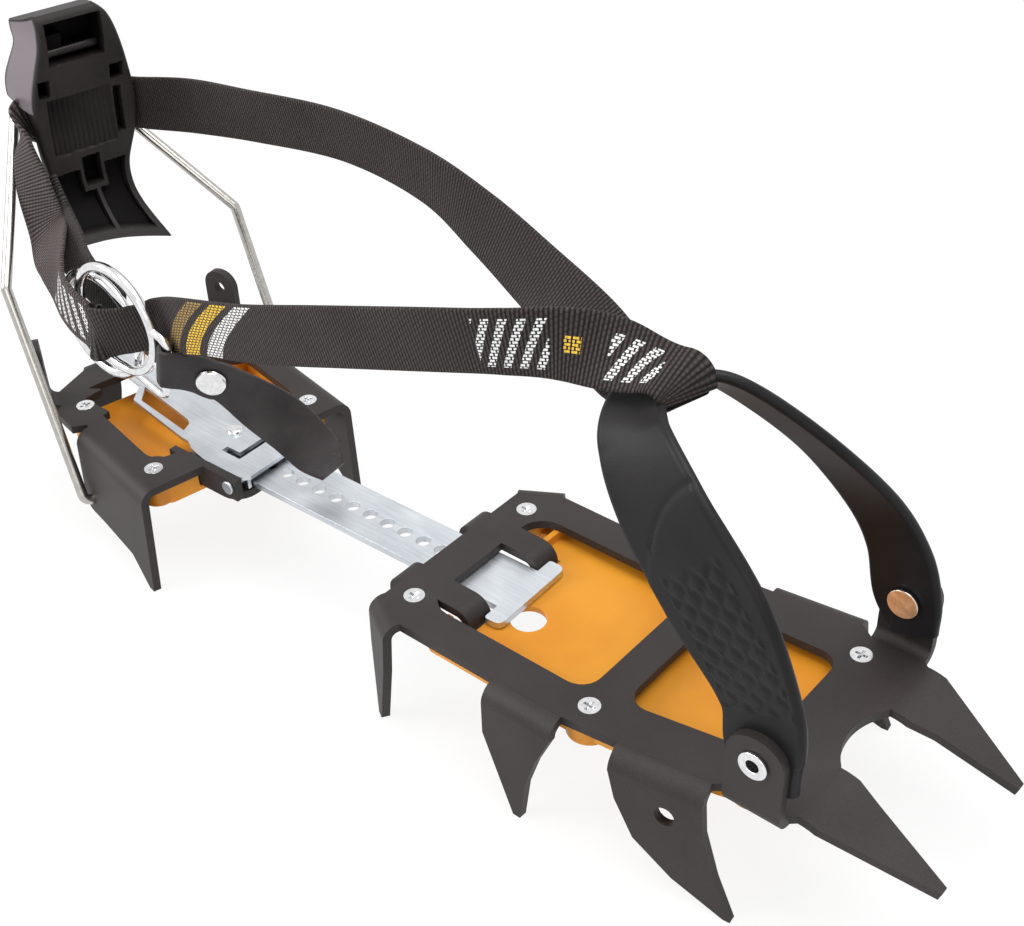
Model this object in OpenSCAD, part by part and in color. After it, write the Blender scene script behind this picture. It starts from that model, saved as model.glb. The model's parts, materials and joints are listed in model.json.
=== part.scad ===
// Twelve-point crampon: two bent plates on a perforated bar, heel bail with lever, toe arch and ankle strap.

/* [Steel plates] */
// Thickness of the steel plates
plate_t = 3; // [2.8:0.1:3.2]
// Inside radius of the bends
bend_r = 3; // [2.6:0.1:3.4]
// Depth of the ground points below the sole
point_depth = 44; // [41:1:48]
// Outward lean of the ground points in degrees
point_splay = 2.5; // [0:0.5:4]

/* [Front plate] */
// Cross web centre to the rear edge
front_rear = 82; // [80:1:85]
// Width of the flat plate
front_w = 81; // [79:1:86]
// Cross web centre to the bend of the front points
front_toe = 67; // [66:1:70]
// Sideways set of the toe
toe_set = 6; // [4:0.5:7]
// Length of the front points beyond their bend
front_reach = 34; // [28:1:40]
// Droop of the front points in degrees
front_droop = 18; // [12:1:24]
// Width of the cross web
web_w = 11; // [9:0.5:14]
// Width of the rails beside the windows
rail_w = 12.5; // [11.5:0.5:14]
// Width of the rear bridge
bridge_w = 13; // [11:0.5:14]

/* [Toe arch] */
// Clear width between the toe brackets
toe_span = 80.7; // [78:0.5:84]
// Height of the toe rivets above the sole
rivet_z = 19; // [17:0.5:22]
// Height of the arch above the rivets
arch_rise = 79; // [76:0.5:81]
// Backward lean of the arch at its top
arch_back = 57.5; // [56:0.5:59]
// Thickness of the toe strap
toe_strap_t = 3.4; // [2.8:0.2:4]
// Toe rivet shank diameter
toe_rivet_d = 6; // [5:0.5:7]

/* [Link bar] */
// Width of the bar
bar_w = 21; // [19:0.5:21]
// Thickness of the bar
bar_t = 2.5; // [2:0.1:2.6]
// Hole pitch of the bar
bar_pitch = 8; // [7.5:0.5:8.5]
// Hole diameter of the bar
bar_hole_d = 5; // [4.8:0.1:5.6]
// Width of the T head
tee_w = 34; // [31:1:38]
// Turn of the bar to the long axis in degrees
bar_yaw = 1.5; // [0:0.5:2]

/* [Heel plate] */
// Cross web centre to the front heel screws
heel_gap = 187; // [185:1:189]
// Turn of the heel plate in degrees
heel_yaw = 10.9; // [10:0.3:12]
// Heel plate ahead of its front screws
heel_front = 10.8; // [10:0.2:12]
// Heel plate behind its front screws
heel_rear = 75.6; // [74:0.4:78]
// Width of the flat heel plate between the flange bends
heel_w = 76; // [75:0.5:79]
// Height of the ears above the sole
ear_h = 26; // [24:1:30]
// Hole diameter of the ears
ear_hole_d = 4.8; // [4:0.2:5.4]

/* [Heel bail and lever] */
// Wire diameter of the bail
wire_d = 3.8; // [3.4:0.1:4]
// Height of the lever axis above the sole
lever_axis_z = 98; // [96:1:102]
// Width of the lever
lever_w = 37; // [35:0.5:40]
// Length of the lever above its axis
lever_top = 40; // [36:1:44]

/* [Straps] */
// Width of the woven straps
strap_w = 20; // [18:0.5:21]
// Thickness of the woven straps
strap_t = 1.6; // [1.2:0.1:1.8]
// Outside diameter of the buckle rings
ring_d = 42; // [40:0.5:43]
// Wire diameter of the buckle rings
ring_wire = 3.6; // [3:0.1:3.8]
// Width of the pull tab
tab_w = 17; // [14:0.5:19]

/* [Fasteners] */
// Head diameter of the screws
screw_head_d = 6.8; // [6:0.2:7.4]
// Shank diameter of the screws
screw_d = 3.5; // [3:0.1:4]

/* [Clearances] */
// Clearance of turning fits on the radius
run_c = 0.06; // [0.04:0.01:0.1]
// Gap between pieces that move apart
gap_c = 0.4; // [0.3:0.05:0.6]

/* [Hidden] */
$fn = 48;
ro = bend_r + plate_t;
hair = 0.02;
lap = 0.2;
pa = 90 - point_splay;
point_l = (point_depth - ro * (1 - cos(pa))) / sin(pa);
fh = front_w / 2;
corner_l = 13.7;
corner_d = 8;
fh_c = fh - corner_d;
x3a = -30.5;
x3b = -4.8;
x2a = 13.5;
x2b = 43;
rivet_x = front_toe - 10.5;
bracket_w = 18;
bracket_in = toe_span / 2;
bar_o = [-53, -2.2];
bar_top = -plate_t - gap_c;
bar_bot = bar_top - bar_t;
prong_c = 1.3;
pin_u = 2;
pin_b = -(heel_gap + bar_o[0] + pin_u);
hole_n = 16;
heel_o = [-heel_gap, -3];
heel_h = heel_w / 2;
heel_win_f = -3;
heel_tail_h = heel_h + 5;
outer_ear = [[-68, -35.6], [-58.7, -39.2]];
inner_ear = [[-70.4, -30.3], [-57.4, -35.3]];
chan_in = 15;
chan_out = chan_in + plate_t;
chan_top = bar_bot - gap_c;
chan_bot = chan_top - plate_t;
clip_t = 1.5;
clip_top = -0.2;
clip_bot = clip_top - clip_t;
clip_rise = 4.5;
pivot_b = 21.5;
pivot_z = -3.3;
pivot_d = 3;
leg_in = bar_w / 2 + 0.7;
leg_t = 1.5;
front_tray_top = bar_bot - gap_c;
heel_tray_top = chan_bot - gap_c;
tray_t = 2;
boss_r = 7;
bail_u = -33;
bail_z = -26.5;
bail_s = (-bail_z - ro * (1 - cos(pa))) / sin(pa);
bail_r = 3;
bail_v = heel_h + ro * sin(pa) + bail_s * cos(pa) + bail_r + 0.1;
axis_u = -104;
axis_half = 14;
ring_gap = ring_wire + gap_c;
ring_a = [-217, -27.4, 47];
ring_b = [-202, ring_a[1] - ring_gap, 56];
ring_r = (ring_d - ring_wire) / 2;
apex = [rivet_x - arch_back, toe_set - 10, rivet_z + arch_rise];
loop_d = ring_wire - 0.6;
loop_b = [0.233, 0, 0.972];
loop_m = ring_b + [ring_r + 4.5, 0, -11.4];
tab_t = 1.8;
tab_at = [-168, -21.9, 40.4];
tab_n = [-0.638, 0.756, 0.153];
tab_g = cross(tab_n, loop_b);
tab_r = loop_d / 2 + gap_c + tab_t / 2;
front_screw_at = [
  [-front_rear + 8, -27.8], [-front_rear + 8, 27.8],
  [-1.3, -fh + 8.6], [-1.3, fh - 7.6],
  [rivet_x - 7.3, toe_set - 28.7], [rivet_x - 7.3, toe_set + 28.7]
];
heel_screw_at = [[0, -32.4], [0, 32.4], [-53, -32.4], [-53, 32.4]];

steel_c = [0.10, 0.10, 0.10];
amber_c = [0.92, 0.60, 0.18];
zinc_c = [0.72, 0.73, 0.74];
wire_c = [0.80, 0.80, 0.82];
web_c = [0.07, 0.06, 0.06];
rubber_c = [0.05, 0.05, 0.06];
lever_c = [0.14, 0.14, 0.14];

function toe_y(x) = toe_set * min(1, max(0, (x - x3b) / (x2b - x3b)));
function unit(v) = v / norm(v);
function flip(p, w) = [for (i = [len(p) - 1:-1:0]) [w - p[i][0], p[i][1]]];
function dir(a, b) = unit(b - a);
function turn(a) = a > 180 ? a - 360 : (a < -180 ? a + 360 : a);

// Corner q between p and s rounded by radius r with k chords.
function corner(p, q, s, r, k) =
  r <= 0 ? [q] :
  let (a = dir(q, p), b = dir(q, s), f = acos(a * b), c = q + unit(a + b) * r / sin(f / 2))
  let (t1 = q + a * r / tan(f / 2) - c, t2 = q + b * r / tan(f / 2) - c)
  let (g = atan2(t1[1], t1[0]), d = turn(atan2(t2[1], t2[0]) - g))
  [for (i = [0:k]) c + r * [cos(g + d * i / k), sin(g + d * i / k)]];

function rounded(p, r, k = 6) =
  [for (i = [0:len(p) - 1])
    each corner(p[(i + len(p) - 1) % len(p)], p[i], p[(i + 1) % len(p)], is_list(r) ? r[i] : r, k)];

// Outline p, walked with its inside on the left, moved inward by d.
function inset(p, d) =
  [for (i = [0:len(p) - 1])
    let (a = dir(p[(i + len(p) - 1) % len(p)], p[i]), b = dir(p[i], p[(i + 1) % len(p)]))
    let (na = [-a[1], a[0]], nb = [-b[1], b[0]])
    p[i] + (na + nb) * d / (1 + na * nb)];

function cr(a, b, c, d, t) =
  0.5 * (2 * b + (c - a) * t + (2 * a - 5 * b + 4 * c - d) * t * t + (3 * b - a - 3 * c + d) * t * t * t);
function spline(p, k) =
  [for (i = [0:len(p) - 2])
    for (j = [0:k - 1])
      cr(p[max(i - 1, 0)], p[i], p[i + 1], p[min(i + 2, len(p) - 1)], j / k),
   p[len(p) - 1]];
function from_heel(p) =
  [heel_o[0] + p[0] * cos(heel_yaw) + p[1] * sin(heel_yaw),
   heel_o[1] - p[0] * sin(heel_yaw) + p[1] * cos(heel_yaw), p[2]];

module in_heel() {
  translate([heel_o[0], heel_o[1], 0]) rotate([0, 0, -heel_yaw]) children();
}

module in_bar() {
  translate([bar_o[0], bar_o[1], 0]) rotate([0, 0, bar_yaw]) children();
}

module at_pin() {
  in_bar() translate([pin_b, 0, 0]) children();
}

module slab(p, z0, z1) {
  translate([0, 0, z0]) linear_extrude(z1 - z0) polygon(p);
}

module box(x0, x1, y0, y1, z0, z1) {
  translate([x0, y0, z0]) cube([x1 - x0, y1 - y0, z1 - z0]);
}

module rod(r, z0, z1) {
  translate([0, 0, z0]) cylinder(r = r, h = z1 - z0);
}

// Frame of a flange that is bent down from the edge p1 to p2, its sheet folded by a.
module on_edge(p1, p2) {
  translate([p1[0], p1[1], 0]) rotate([0, 0, atan2(p2[1] - p1[1], p2[0] - p1[0])]) children();
}

module folded(a, ri, t) {
  translate([0, 0, -ri - t]) rotate([a, 0, 0]) translate([0, 0, ri + t]) children();
}

// The sheet is thinned by a hair from plate to bend to flange, so each runs a little way into the next.
module flange(p1, p2, a, ri, t, p) {
  w = norm(p2 - p1);
  on_edge(p1, p2) {
    box(lap, w - lap, -lap, lap, hair - t, -hair);
    translate([0, 0, -ri - t]) rotate([0, 90, 0]) rotate([0, 0, 180])
      rotate_extrude(angle = a) translate([ri + hair, 2 * hair]) square([t - 2 * hair, w - 4 * hair]);
    folded(a, ri, t) slab([for (q = concat([[lap, -lap]], p, [[w - lap, -lap]])) [q[0], -q[1]]],
      2 * hair - t, -2 * hair);
  }
}

module flange_up(p1, p2, a, ri, t, p) {
  translate([0, 0, -t]) mirror([0, 0, 1]) flange(p1, p2, a, ri, t, p);
}

// Flat band along the points c with width directions u and widths w.
module band(c, u, w, t, k) {
  r = spline(c, k);
  v = spline(u, k);
  b = spline(w, k);
  m = len(r) - 1;
  p = [for (i = [0:m])
    let (f = unit(r[min(i + 1, m)] - r[max(i - 1, 0)]), s = unit(v[i] - (v[i] * f) * f), n = cross(f, s))
    each [r[i] + s * b[i] / 2 + n * t / 2, r[i] - s * b[i] / 2 + n * t / 2,
          r[i] - s * b[i] / 2 - n * t / 2, r[i] + s * b[i] / 2 - n * t / 2]];
  f = [for (i = [0:m - 1]) for (j = [0:3])
    let (a = 4 * i + j, e = 4 * i + (j + 1) % 4)
    each [[a, a + 4, e + 4], [a, e + 4, e]]];
  g = 4 * m;
  polyhedron(p, concat([[0, 1, 2], [0, 2, 3], [g + 2, g + 1, g], [g + 3, g + 2, g]], f));
}

// Straight round wire from a to b.
module wire(a, b, d) {
  v = b - a;
  translate(a) rotate([0, acos(v[2] / norm(v)), atan2(v[1], v[0])]) cylinder(d = d, h = norm(v));
}

// Round wire bent at q between the ends p and s.
module elbow(p, q, s, r, d) {
  a = dir(p, q);
  b = dir(q, s);
  g = acos(a * b);
  c = q + unit(b - a) * r / cos(g / 2);
  x = unit(q - a * r * tan(g / 2) - c);
  z = cross(x, a);
  multmatrix([[x[0], a[0], z[0], c[0]], [x[1], a[1], z[1], c[1]], [x[2], a[2], z[2], c[2]], [0, 0, 0, 1]])
    rotate_extrude(angle = g) translate([r, 0]) circle(d = d);
}

module bent_wire(p, r, d) {
  m = len(p) - 1;
  cut = [for (i = [0:m]) i == 0 || i == m ? 0
    : r * tan(acos(dir(p[i - 1], p[i]) * dir(p[i], p[i + 1])) / 2)];
  for (i = [0:m - 1]) {
    f = dir(p[i], p[i + 1]);
    wire(p[i] + f * (cut[i] - (i > 0 ? lap : 0)), p[i + 1] - f * (cut[i + 1] - (i < m - 1 ? lap : 0)), d);
  }
  for (i = [1:m - 1]) elbow(p[i - 1], p[i], p[i + 1], r, d + 0.03);
}

module screw_seat(z0) {
  translate([0, 0, -2]) cylinder(d1 = screw_d + 0.2, d2 = screw_head_d + 0.4, h = 2.1);
  rod(screw_d / 2 + 0.1, z0, 0);
}

module screw(z0) {
  difference() {
    union() {
      translate([0, 0, -1.9]) cylinder(d1 = screw_d, d2 = screw_head_d, h = 1.85);
      rod(screw_d / 2, z0, -1.8);
    }
    box(-2, 2, -0.5, 0.5, -1.3, 1);
    box(-0.5, 0.5, -2, 2, -1.3, 1);
  }
}

function third_p(w) = [
  [0, 0], [0.4, 0.3 * point_l], [0.54 * w - 1.5, point_l], [0.54 * w + 1.2, point_l],
  [0.66 * w, 0.6 * point_l], [0.8 * w, 0.3 * point_l], [w, 0]
];
function second_p(w) = [
  [0, 0], [2.5, 0.26 * point_l], [9, 0.58 * point_l], [22, 0.82 * point_l], [w + 9.2, point_l],
  [w + 11.4, point_l], [w + 5.4, 0.64 * point_l], [w + 0.8, 0.25 * point_l], [w, 0]
];
function fourth_p(w) = [
  [0, 0], [1, 0.3 * point_l], [0.5 * w - 1.5, point_l], [0.5 * w + 1.5, point_l],
  [w - 1, 0.35 * point_l], [w, 0]
];

module point_hole(c) {
  translate([c[0], -c[1], -plate_t - 1]) cylinder(d = 6.4, h = plate_t + 2);
}

module second_point(p1, p2, far) {
  w = norm(p2 - p1);
  c = [18.5, 0.22 * point_l];
  difference() {
    flange(p1, p2, pa, bend_r, plate_t, far ? flip(second_p(w), w) : second_p(w));
    on_edge(p1, p2) folded(pa, bend_r, plate_t) point_hole(far ? [w - c[0], c[1]] : c);
  }
}

function front_outline() = [
  [-front_rear, -fh_c], [-front_rear + corner_l, -fh], [x3a, -fh], [x3b, -fh],
  [x2a, -fh + toe_y(x2a)], [x2b, -fh + toe_y(x2b)], [rivet_x - bracket_w / 2, toe_set - bracket_in + bend_r],
  [rivet_x + bracket_w / 2, toe_set - bracket_in + bend_r], [front_toe, toe_set - 36],
  [front_toe, toe_set + 36], [rivet_x + bracket_w / 2, toe_set + bracket_in - bend_r],
  [rivet_x - bracket_w / 2, toe_set + bracket_in - bend_r], [x2b, fh + toe_y(x2b)],
  [x2a, fh + toe_y(x2a)], [x3b, fh], [x3a, fh], [-front_rear + corner_l, fh], [-front_rear, fh_c]
];

module toe_bracket(p1, p2) {
  w = norm(p2 - p1);
  s = rivet_z - bend_r;
  difference() {
    flange_up(p1, p2, 90, bend_r, plate_t, rounded([[0, 0], [0, s + 9], [w, s + 9], [w, 0]],
      [0, bracket_w / 2 - 0.5, bracket_w / 2 - 0.5, 0]));
    translate([rivet_x, 0, rivet_z]) rotate([90, 0, 0])
      cylinder(d = toe_rivet_d + 0.1, h = 300, center = true);
  }
}

module front_plate() {
  by = bar_o[1] + (-front_rear - bar_o[0]) * tan(bar_yaw);
  px = bar_o[0] - gap_c - ro;
  win_x = -front_rear + bridge_w;
  color(steel_c) {
    difference() {
      slab(front_outline(), -plate_t, 0);
      slab(rounded([[win_x, -fh + rail_w], [-web_w / 2, -fh + rail_w], [-web_w / 2, fh - rail_w],
        [win_x, fh - rail_w]], [9, 7, 7, 9]), -plate_t - 1, 1);
      slab(rounded([[web_w / 2, -fh + rail_w + 3.3], [rivet_x - 11, toe_set - fh + rail_w + 4.5],
        [rivet_x - 11, toe_set + fh - rail_w - 4.5], [web_w / 2, fh - rail_w - 0.7]], 6), -plate_t - 1, 1);
      translate([front_toe - 4.7 + 22, toe_set, -plate_t - 1]) cylinder(r = 22, h = plate_t + 2);
      for (p = front_screw_at) translate(p) screw_seat(-plate_t - 1);
    }
    for (s = [-1, 1]) {
      y0 = by + s * (bar_w / 2 + prong_c) - (s < 0 ? 10 : 0);
      slab([[win_x - 1, y0], [px, y0], [px, y0 + 10], [win_x - 1, y0 + 10]], -plate_t, 0);
      flange([px, y0], [px, y0 + 10], 90, bend_r, plate_t, [[0, 0], [0.5, 1.5], [9.5, 1.5], [10, 0]]);
      flange([-front_rear, y0 + 10], [-front_rear, y0], 90, bend_r, plate_t,
        rounded([[0, 0], [0, 5], [10, 5], [10, 0]], [0, 3, 3, 0]));
      flange([front_toe, toe_set + (s < 0 ? -36 : 14)], [front_toe, toe_set + (s < 0 ? -14 : 36)],
        front_droop, 20 - plate_t, plate_t, s < 0
        ? [[0, 0], [9.6, front_reach], [12.4, front_reach], [19.5, 0.24 * front_reach], [22, 0]]
        : [[0, 0], [2.5, 0.24 * front_reach], [5.2, front_reach], [8, front_reach], [22, 0]]);
    }
    flange([-front_rear, -fh_c], [-front_rear + corner_l, -fh], pa, bend_r, plate_t,
      fourth_p(norm([corner_l, corner_d])));
    flange([-front_rear + corner_l, fh], [-front_rear, fh_c], pa, bend_r, plate_t,
      fourth_p(norm([corner_l, corner_d])));
    flange([x3a, -fh], [x3b, -fh], pa, bend_r, plate_t, third_p(x3b - x3a));
    flange([x3b, fh], [x3a, fh], pa, bend_r, plate_t, flip(third_p(x3b - x3a), x3b - x3a));
    second_point([x2a, -fh + toe_y(x2a)], [x2b, -fh + toe_y(x2b)], false);
    second_point([x2b, fh + toe_y(x2b)], [x2a, fh + toe_y(x2a)], true);
    toe_bracket([rivet_x - bracket_w / 2, toe_set - bracket_in + bend_r],
      [rivet_x + bracket_w / 2, toe_set - bracket_in + bend_r]);
    toe_bracket([rivet_x + bracket_w / 2, toe_set + bracket_in - bend_r],
      [rivet_x - bracket_w / 2, toe_set + bracket_in - bend_r]);
  }
}

function front_tray_p() = [
  [-62, -fh + 3], [x3b, -fh + 3], [x2a, -fh + 3 + toe_y(x2a)], [x2b - 1, -fh + 3.5 + toe_set],
  [rivet_x - 2, toe_set - 33.5], [rivet_x - 2, toe_set + 33.5], [x2b - 1, fh - 3.5 + toe_set],
  [x2a, fh - 3 + toe_y(x2a)], [x3b, fh - 3], [-62, fh - 3]
];

module front_anti_balling_plate() {
  top = -plate_t - 0.1;
  low = front_tray_top - tray_t;
  by = bar_o[1] + (-front_rear - bar_o[0]) * tan(bar_yaw);
  nx = bar_o[0] + gap_c;
  ny = bar_w / 2 + prong_c + 10 + gap_c;
  color(amber_c) difference() {
    union() {
      slab(rounded(front_tray_p(), 4), low, front_tray_top);
      difference() {
        slab(rounded(front_tray_p(), 4), low, top);
        slab(rounded(inset(front_tray_p(), 2), 3), low - 1, 1);
      }
      for (s = [-1, 1]) slab([[-front_rear + 2, s * 24], [-front_rear + 2, s * 31], [-58, s * 36],
        [-58, s * 28]], low, front_tray_top);
      for (p = front_screw_at) translate(p) rod(boss_r, low - 1, top);
    }
    for (p = front_screw_at) translate(p) rod(screw_d / 2 + 0.1, low - 2, 1);
    box(-front_rear - 5, nx, by - ny, by + ny, low - 2, 1);
    translate([-43, -9, low - 1]) cylinder(d = 11.7, h = 20);
  }
}

module front_screws() {
  color(zinc_c) for (p = front_screw_at) translate(p) screw(front_tray_top - tray_t);
}

module toe_rivets() {
  y = bracket_in;
  color(zinc_c) translate([rivet_x, toe_set, rivet_z])
    for (s = [0, 180]) rotate([0, 0, s]) rotate([90, 0, 0]) {
    difference() {
      union() {
        rod(toe_rivet_d / 2, y - toe_strap_t - gap_c - 1.4, y + plate_t + 1);
        rod(toe_rivet_d / 2 + 1.9, y - toe_strap_t - gap_c - 1.4, y - toe_strap_t - gap_c - 0.4);
        rod(toe_rivet_d / 2 + 1.4, y + plate_t + 0.1, y + plate_t + 1.1);
      }
      rod(toe_rivet_d / 2 - 1, y - 2, y + 20);
    }
  }
}

module toe_strap() {
  y = bracket_in - gap_c / 2 - toe_strap_t / 2;
  n = toe_set - y;
  f = toe_set + y;
  b = arch_back;
  h = arch_rise;
  c = [
    [rivet_x + 4, n, rivet_z - 11], [rivet_x, n, rivet_z], [rivet_x - 0.04 * b, n, rivet_z + 0.21 * h],
    [rivet_x - 0.29 * b, n - 0.5, rivet_z + 0.52 * h], [rivet_x - 0.63 * b, n + 2, rivet_z + 0.785 * h],
    [rivet_x - 0.88 * b, n + 9.5, rivet_z + 0.925 * h], [rivet_x - b, toe_set - 18, rivet_z + 0.98 * h],
    [rivet_x - b, toe_set - 8, rivet_z + h], [rivet_x - 0.88 * b, toe_set, rivet_z + 0.99 * h],
    [rivet_x - 0.69 * b, toe_set + 7, rivet_z + 0.92 * h],
    [rivet_x - 0.41 * b, toe_set + 19, rivet_z + 0.71 * h],
    [rivet_x - 0.2 * b, f - 7, rivet_z + 0.44 * h], [rivet_x - 0.08 * b, f - 0.5, rivet_z + 0.21 * h],
    [rivet_x, f, rivet_z], [rivet_x + 4, f, rivet_z - 11]
  ];
  d = [
    [0.9, 0, 0.3], [0.9, 0, 0.2], [0.95, 0, 0.2], [0.85, 0, 0.5], [0.85, 0, 0.5], [0.9, 0, 0.3],
    [0.98, 0, 0.1], [0.98, 0, 0.1], [0.95, -0.1, 0.2], [0.85, -0.25, 0.4], [0.8, -0.3, 0.45],
    [0.85, -0.15, 0.45], [0.95, 0, 0.2], [0.9, 0, 0.2], [0.9, 0, 0.3]
  ];
  color(rubber_c) difference() {
    band(c, d, [16, 24, 26, 34, 31, 22, 16, 15, 15, 16, 18, 20, 21, 22, 15], toe_strap_t, 4);
    translate([rivet_x, toe_set, rivet_z]) rotate([90, 0, 0])
      cylinder(d = toe_rivet_d + 2 * run_c, h = 300, center = true);
  }
}

module link_bar() {
  e = -pin_b + 1.7 * bar_pitch;
  color(zinc_c) in_bar() difference() {
    union() {
      slab(rounded([[-e, -bar_w / 2], [0.5, -bar_w / 2], [0.5, bar_w / 2], [-e, bar_w / 2]],
        [bar_w / 2 - 1, 0, 0, bar_w / 2 - 1], 10), bar_bot, bar_top);
      slab(rounded([[0, -tee_w / 2], [6.3, -tee_w / 2], [6.3, tee_w / 2], [0, tee_w / 2]], [1, 2.5, 2.5, 1]),
        bar_bot, bar_top);
    }
    for (i = [0:hole_n - 1]) translate([pin_b + i * bar_pitch - bar_pitch, 0, bar_bot - 1])
      cylinder(d = bar_hole_d, h = bar_t + 2);
  }
}

function heel_outline() = [
  [-heel_rear, -21.6], outer_ear[0], outer_ear[1], [-56, -heel_tail_h], [-43, -heel_tail_h], [-40.5, -heel_h],
  [heel_front, -heel_h], [heel_front, heel_h], [-50, heel_h], mirrored(inner_ear[1]), mirrored(inner_ear[0]),
  [-heel_rear, 21.6]
];
function side_p(w) = rounded([
  [0, 0], [0, bail_s + 6], [14, bail_s + 6.5], [w - 15, bail_s + 8.5], [w - 4.2, point_l],
  [w - 1.2, point_l], [w, 0]], [0, 5, 0, 4, 0, 0, 0]);
function mirrored(p) = [p[0], -p[1]];
function ear_p(w, h) = rounded([[0, 0], [0, h], [w, h], [w, 0]], [0, w / 2 - 0.5, w / 2 - 0.5, 0]);

module side_flange(p1, p2, far) {
  w = norm(p2 - p1);
  difference() {
    flange(p1, p2, pa, bend_r, plate_t, far ? flip(side_p(w), w) : side_p(w));
    translate([bail_u, 0, bail_z]) rotate([90, 0, 0])
      cylinder(d = wire_d + 2 * run_c, h = 300, center = true);
  }
}

module ear(p) {
  w = norm(p[1] - p[0]);
  s = ear_h - ro + plate_t;
  difference() {
    flange_up(p[0], p[1], 90, bend_r, plate_t, ear_p(w, s));
    translate([0, 0, -plate_t]) mirror([0, 0, 1]) on_edge(p[0], p[1]) folded(90, bend_r, plate_t)
      translate([w / 2, -s + 7, -plate_t - 1]) cylinder(d = ear_hole_d, h = plate_t + 2);
  }
}

module heel_plate() {
  color(steel_c) difference() {
    union() {
      in_heel() {
        difference() {
          slab(heel_outline(), -plate_t, 0);
          difference() {
            slab(rounded([[-63, -30.6], [heel_win_f, -30.6], [heel_win_f, 30.6], [-63, 30.6]], 7),
              -plate_t - 1, 1);
            for (p = heel_screw_at)
              translate([p[0], p[1], -plate_t - 2]) cylinder(r = p[0] < -9 ? 11 : 7, h = 9);
          }
          for (p = heel_screw_at) translate(p) screw_seat(-plate_t - 1);
        }
        side_flange([-39, -heel_h], [heel_front, -heel_h], false);
        side_flange([heel_front, heel_h], [-39, heel_h], true);
        for (v = [20, -6]) flange([-heel_rear, v], [-heel_rear, v - 14], pa, bend_r, plate_t, fourth_p(14));
        ear(outer_ear);
        mirror([0, 1, 0]) ear(inner_ear);
      }
      at_pin() {
        slab(rounded([[-9, -chan_out], [26, -chan_out], [26, chan_out], [-9, chan_out]], [0, 8, 8, 0]),
          chan_bot, chan_top);
        for (s = [0, 1]) mirror([0, s, 0]) box(-9, 25, chan_in, chan_out, chan_bot + 1, 0);
      }
    }
    at_pin() {
      box(-60, 60, -chan_in, chan_in, chan_top, 1);
      translate([pivot_b, 0, pivot_z]) rotate([90, 0, 0]) cylinder(d = pivot_d + 0.1, h = 60, center = true);
    }
  }
}

function heel_tray_p() = [
  [-62, -26], [-56, -35.4], [4, -35.4], [8, -31], [8, 31], [4, 35.4], [-56, 35.4], [-62, 26]
];

module heel_anti_balling_plate() {
  top = -plate_t - 0.1;
  low = heel_tray_top - tray_t;
  color(amber_c) difference() {
    in_heel() difference() {
      union() {
        slab(rounded(heel_tray_p(), 3), low, heel_tray_top);
        difference() {
          slab(rounded(heel_tray_p(), 3), low, top);
          slab(rounded(inset(heel_tray_p(), 2), 2), low - 1, 1);
        }
        for (p = heel_screw_at) translate(p) rod(boss_r - 1.6, low - 1.5, top);
      }
      for (p = heel_screw_at) translate(p) rod(screw_d / 2 + 0.1, low - 3, 1);
    }
    at_pin() box(-80, 40, -chan_out - gap_c, chan_out + gap_c, heel_tray_top - 0.1, 1);
  }
}

module heel_screws() {
  color(zinc_c) in_heel() for (p = heel_screw_at) translate(p) screw(heel_tray_top - tray_t);
}

module lock_clip() {
  tail = [[0.5, -10], [0.5, 14.4], [-46, 16], [-70, 15], [-69, 5.6], [-35, 1.2], [-30, -6.4]];
  slot = [[-2, -6.8], [-27.5, -4.7], [-33, 1.9], [-6, -1.2], [-3.4, -2.8]];
  color(zinc_c) at_pin() {
    difference() {
      union() {
        slab(rounded([[-12, -10.1], [-8, -10.1], [-3, -12.8], [5, -14.5], [24, -14.5], [26.5, -12],
          [26.5, 12], [24, 14.5], [-12, 14.5]], [0, 0, 2, 4, 1, 1, 1, 1, 0]), clip_bot, clip_top);
        translate([-12, 0, clip_bot + 0.05]) rotate([0, clip_rise, 0]) slab(tail, 0, clip_t - 0.1);
        for (s = [0, 1]) mirror([0, s, 0])
          box(pivot_b - 4, pivot_b + 4, leg_in, leg_in + leg_t, pivot_z - 2.4, clip_bot + 0.5);
      }
      translate([-12, 0, clip_bot]) rotate([0, clip_rise, 0]) slab(slot, -1, clip_t + 1);
      slab([[13, 20], [13, -4.2], [6.5, -4.2], [6.5, -7], [15.8, -7], [15.8, 20]], clip_bot - 1, 1);
      translate([1.4, 4.4, -5]) cylinder(d = 3.1, h = 8);
      translate([pivot_b, 0, pivot_z]) rotate([90, 0, 0])
        cylinder(d = pivot_d + 2 * run_c, h = 60, center = true);
    }
  }
}

module lock_pin() {
  color(zinc_c) at_pin() difference() {
    union() {
      slab(rounded([[-6, -6], [6, -6], [6, 8.5], [-6, 8.5]], 2), clip_bot - 1.35, clip_bot - 0.05);
      rod(bar_hole_d / 2 - gap_c, bar_bot, clip_bot - 1);
    }
    translate([1.4, 4.4, -5]) cylinder(d = 3.1, h = 8);
  }
}

module clip_rivet() {
  color(wire_c) at_pin() translate([1.4, 4.4, 0]) {
    rod(1.5, clip_bot - 1.35, clip_top + 0.6);
    translate([0, 0, clip_top + 0.05]) cylinder(d1 = 6.5, d2 = 5, h = 1.1);
  }
}

module clip_pivots() {
  color(wire_c) at_pin() translate([pivot_b, 0, pivot_z])
    for (s = [0, 180]) rotate([0, 0, s]) rotate([90, 0, 0]) {
    rod(pivot_d / 2, leg_in - 0.2, chan_out + 0.5);
    rod(pivot_d / 2 + 1, chan_out + 0.1, chan_out + 1.1);
  }
}

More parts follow.
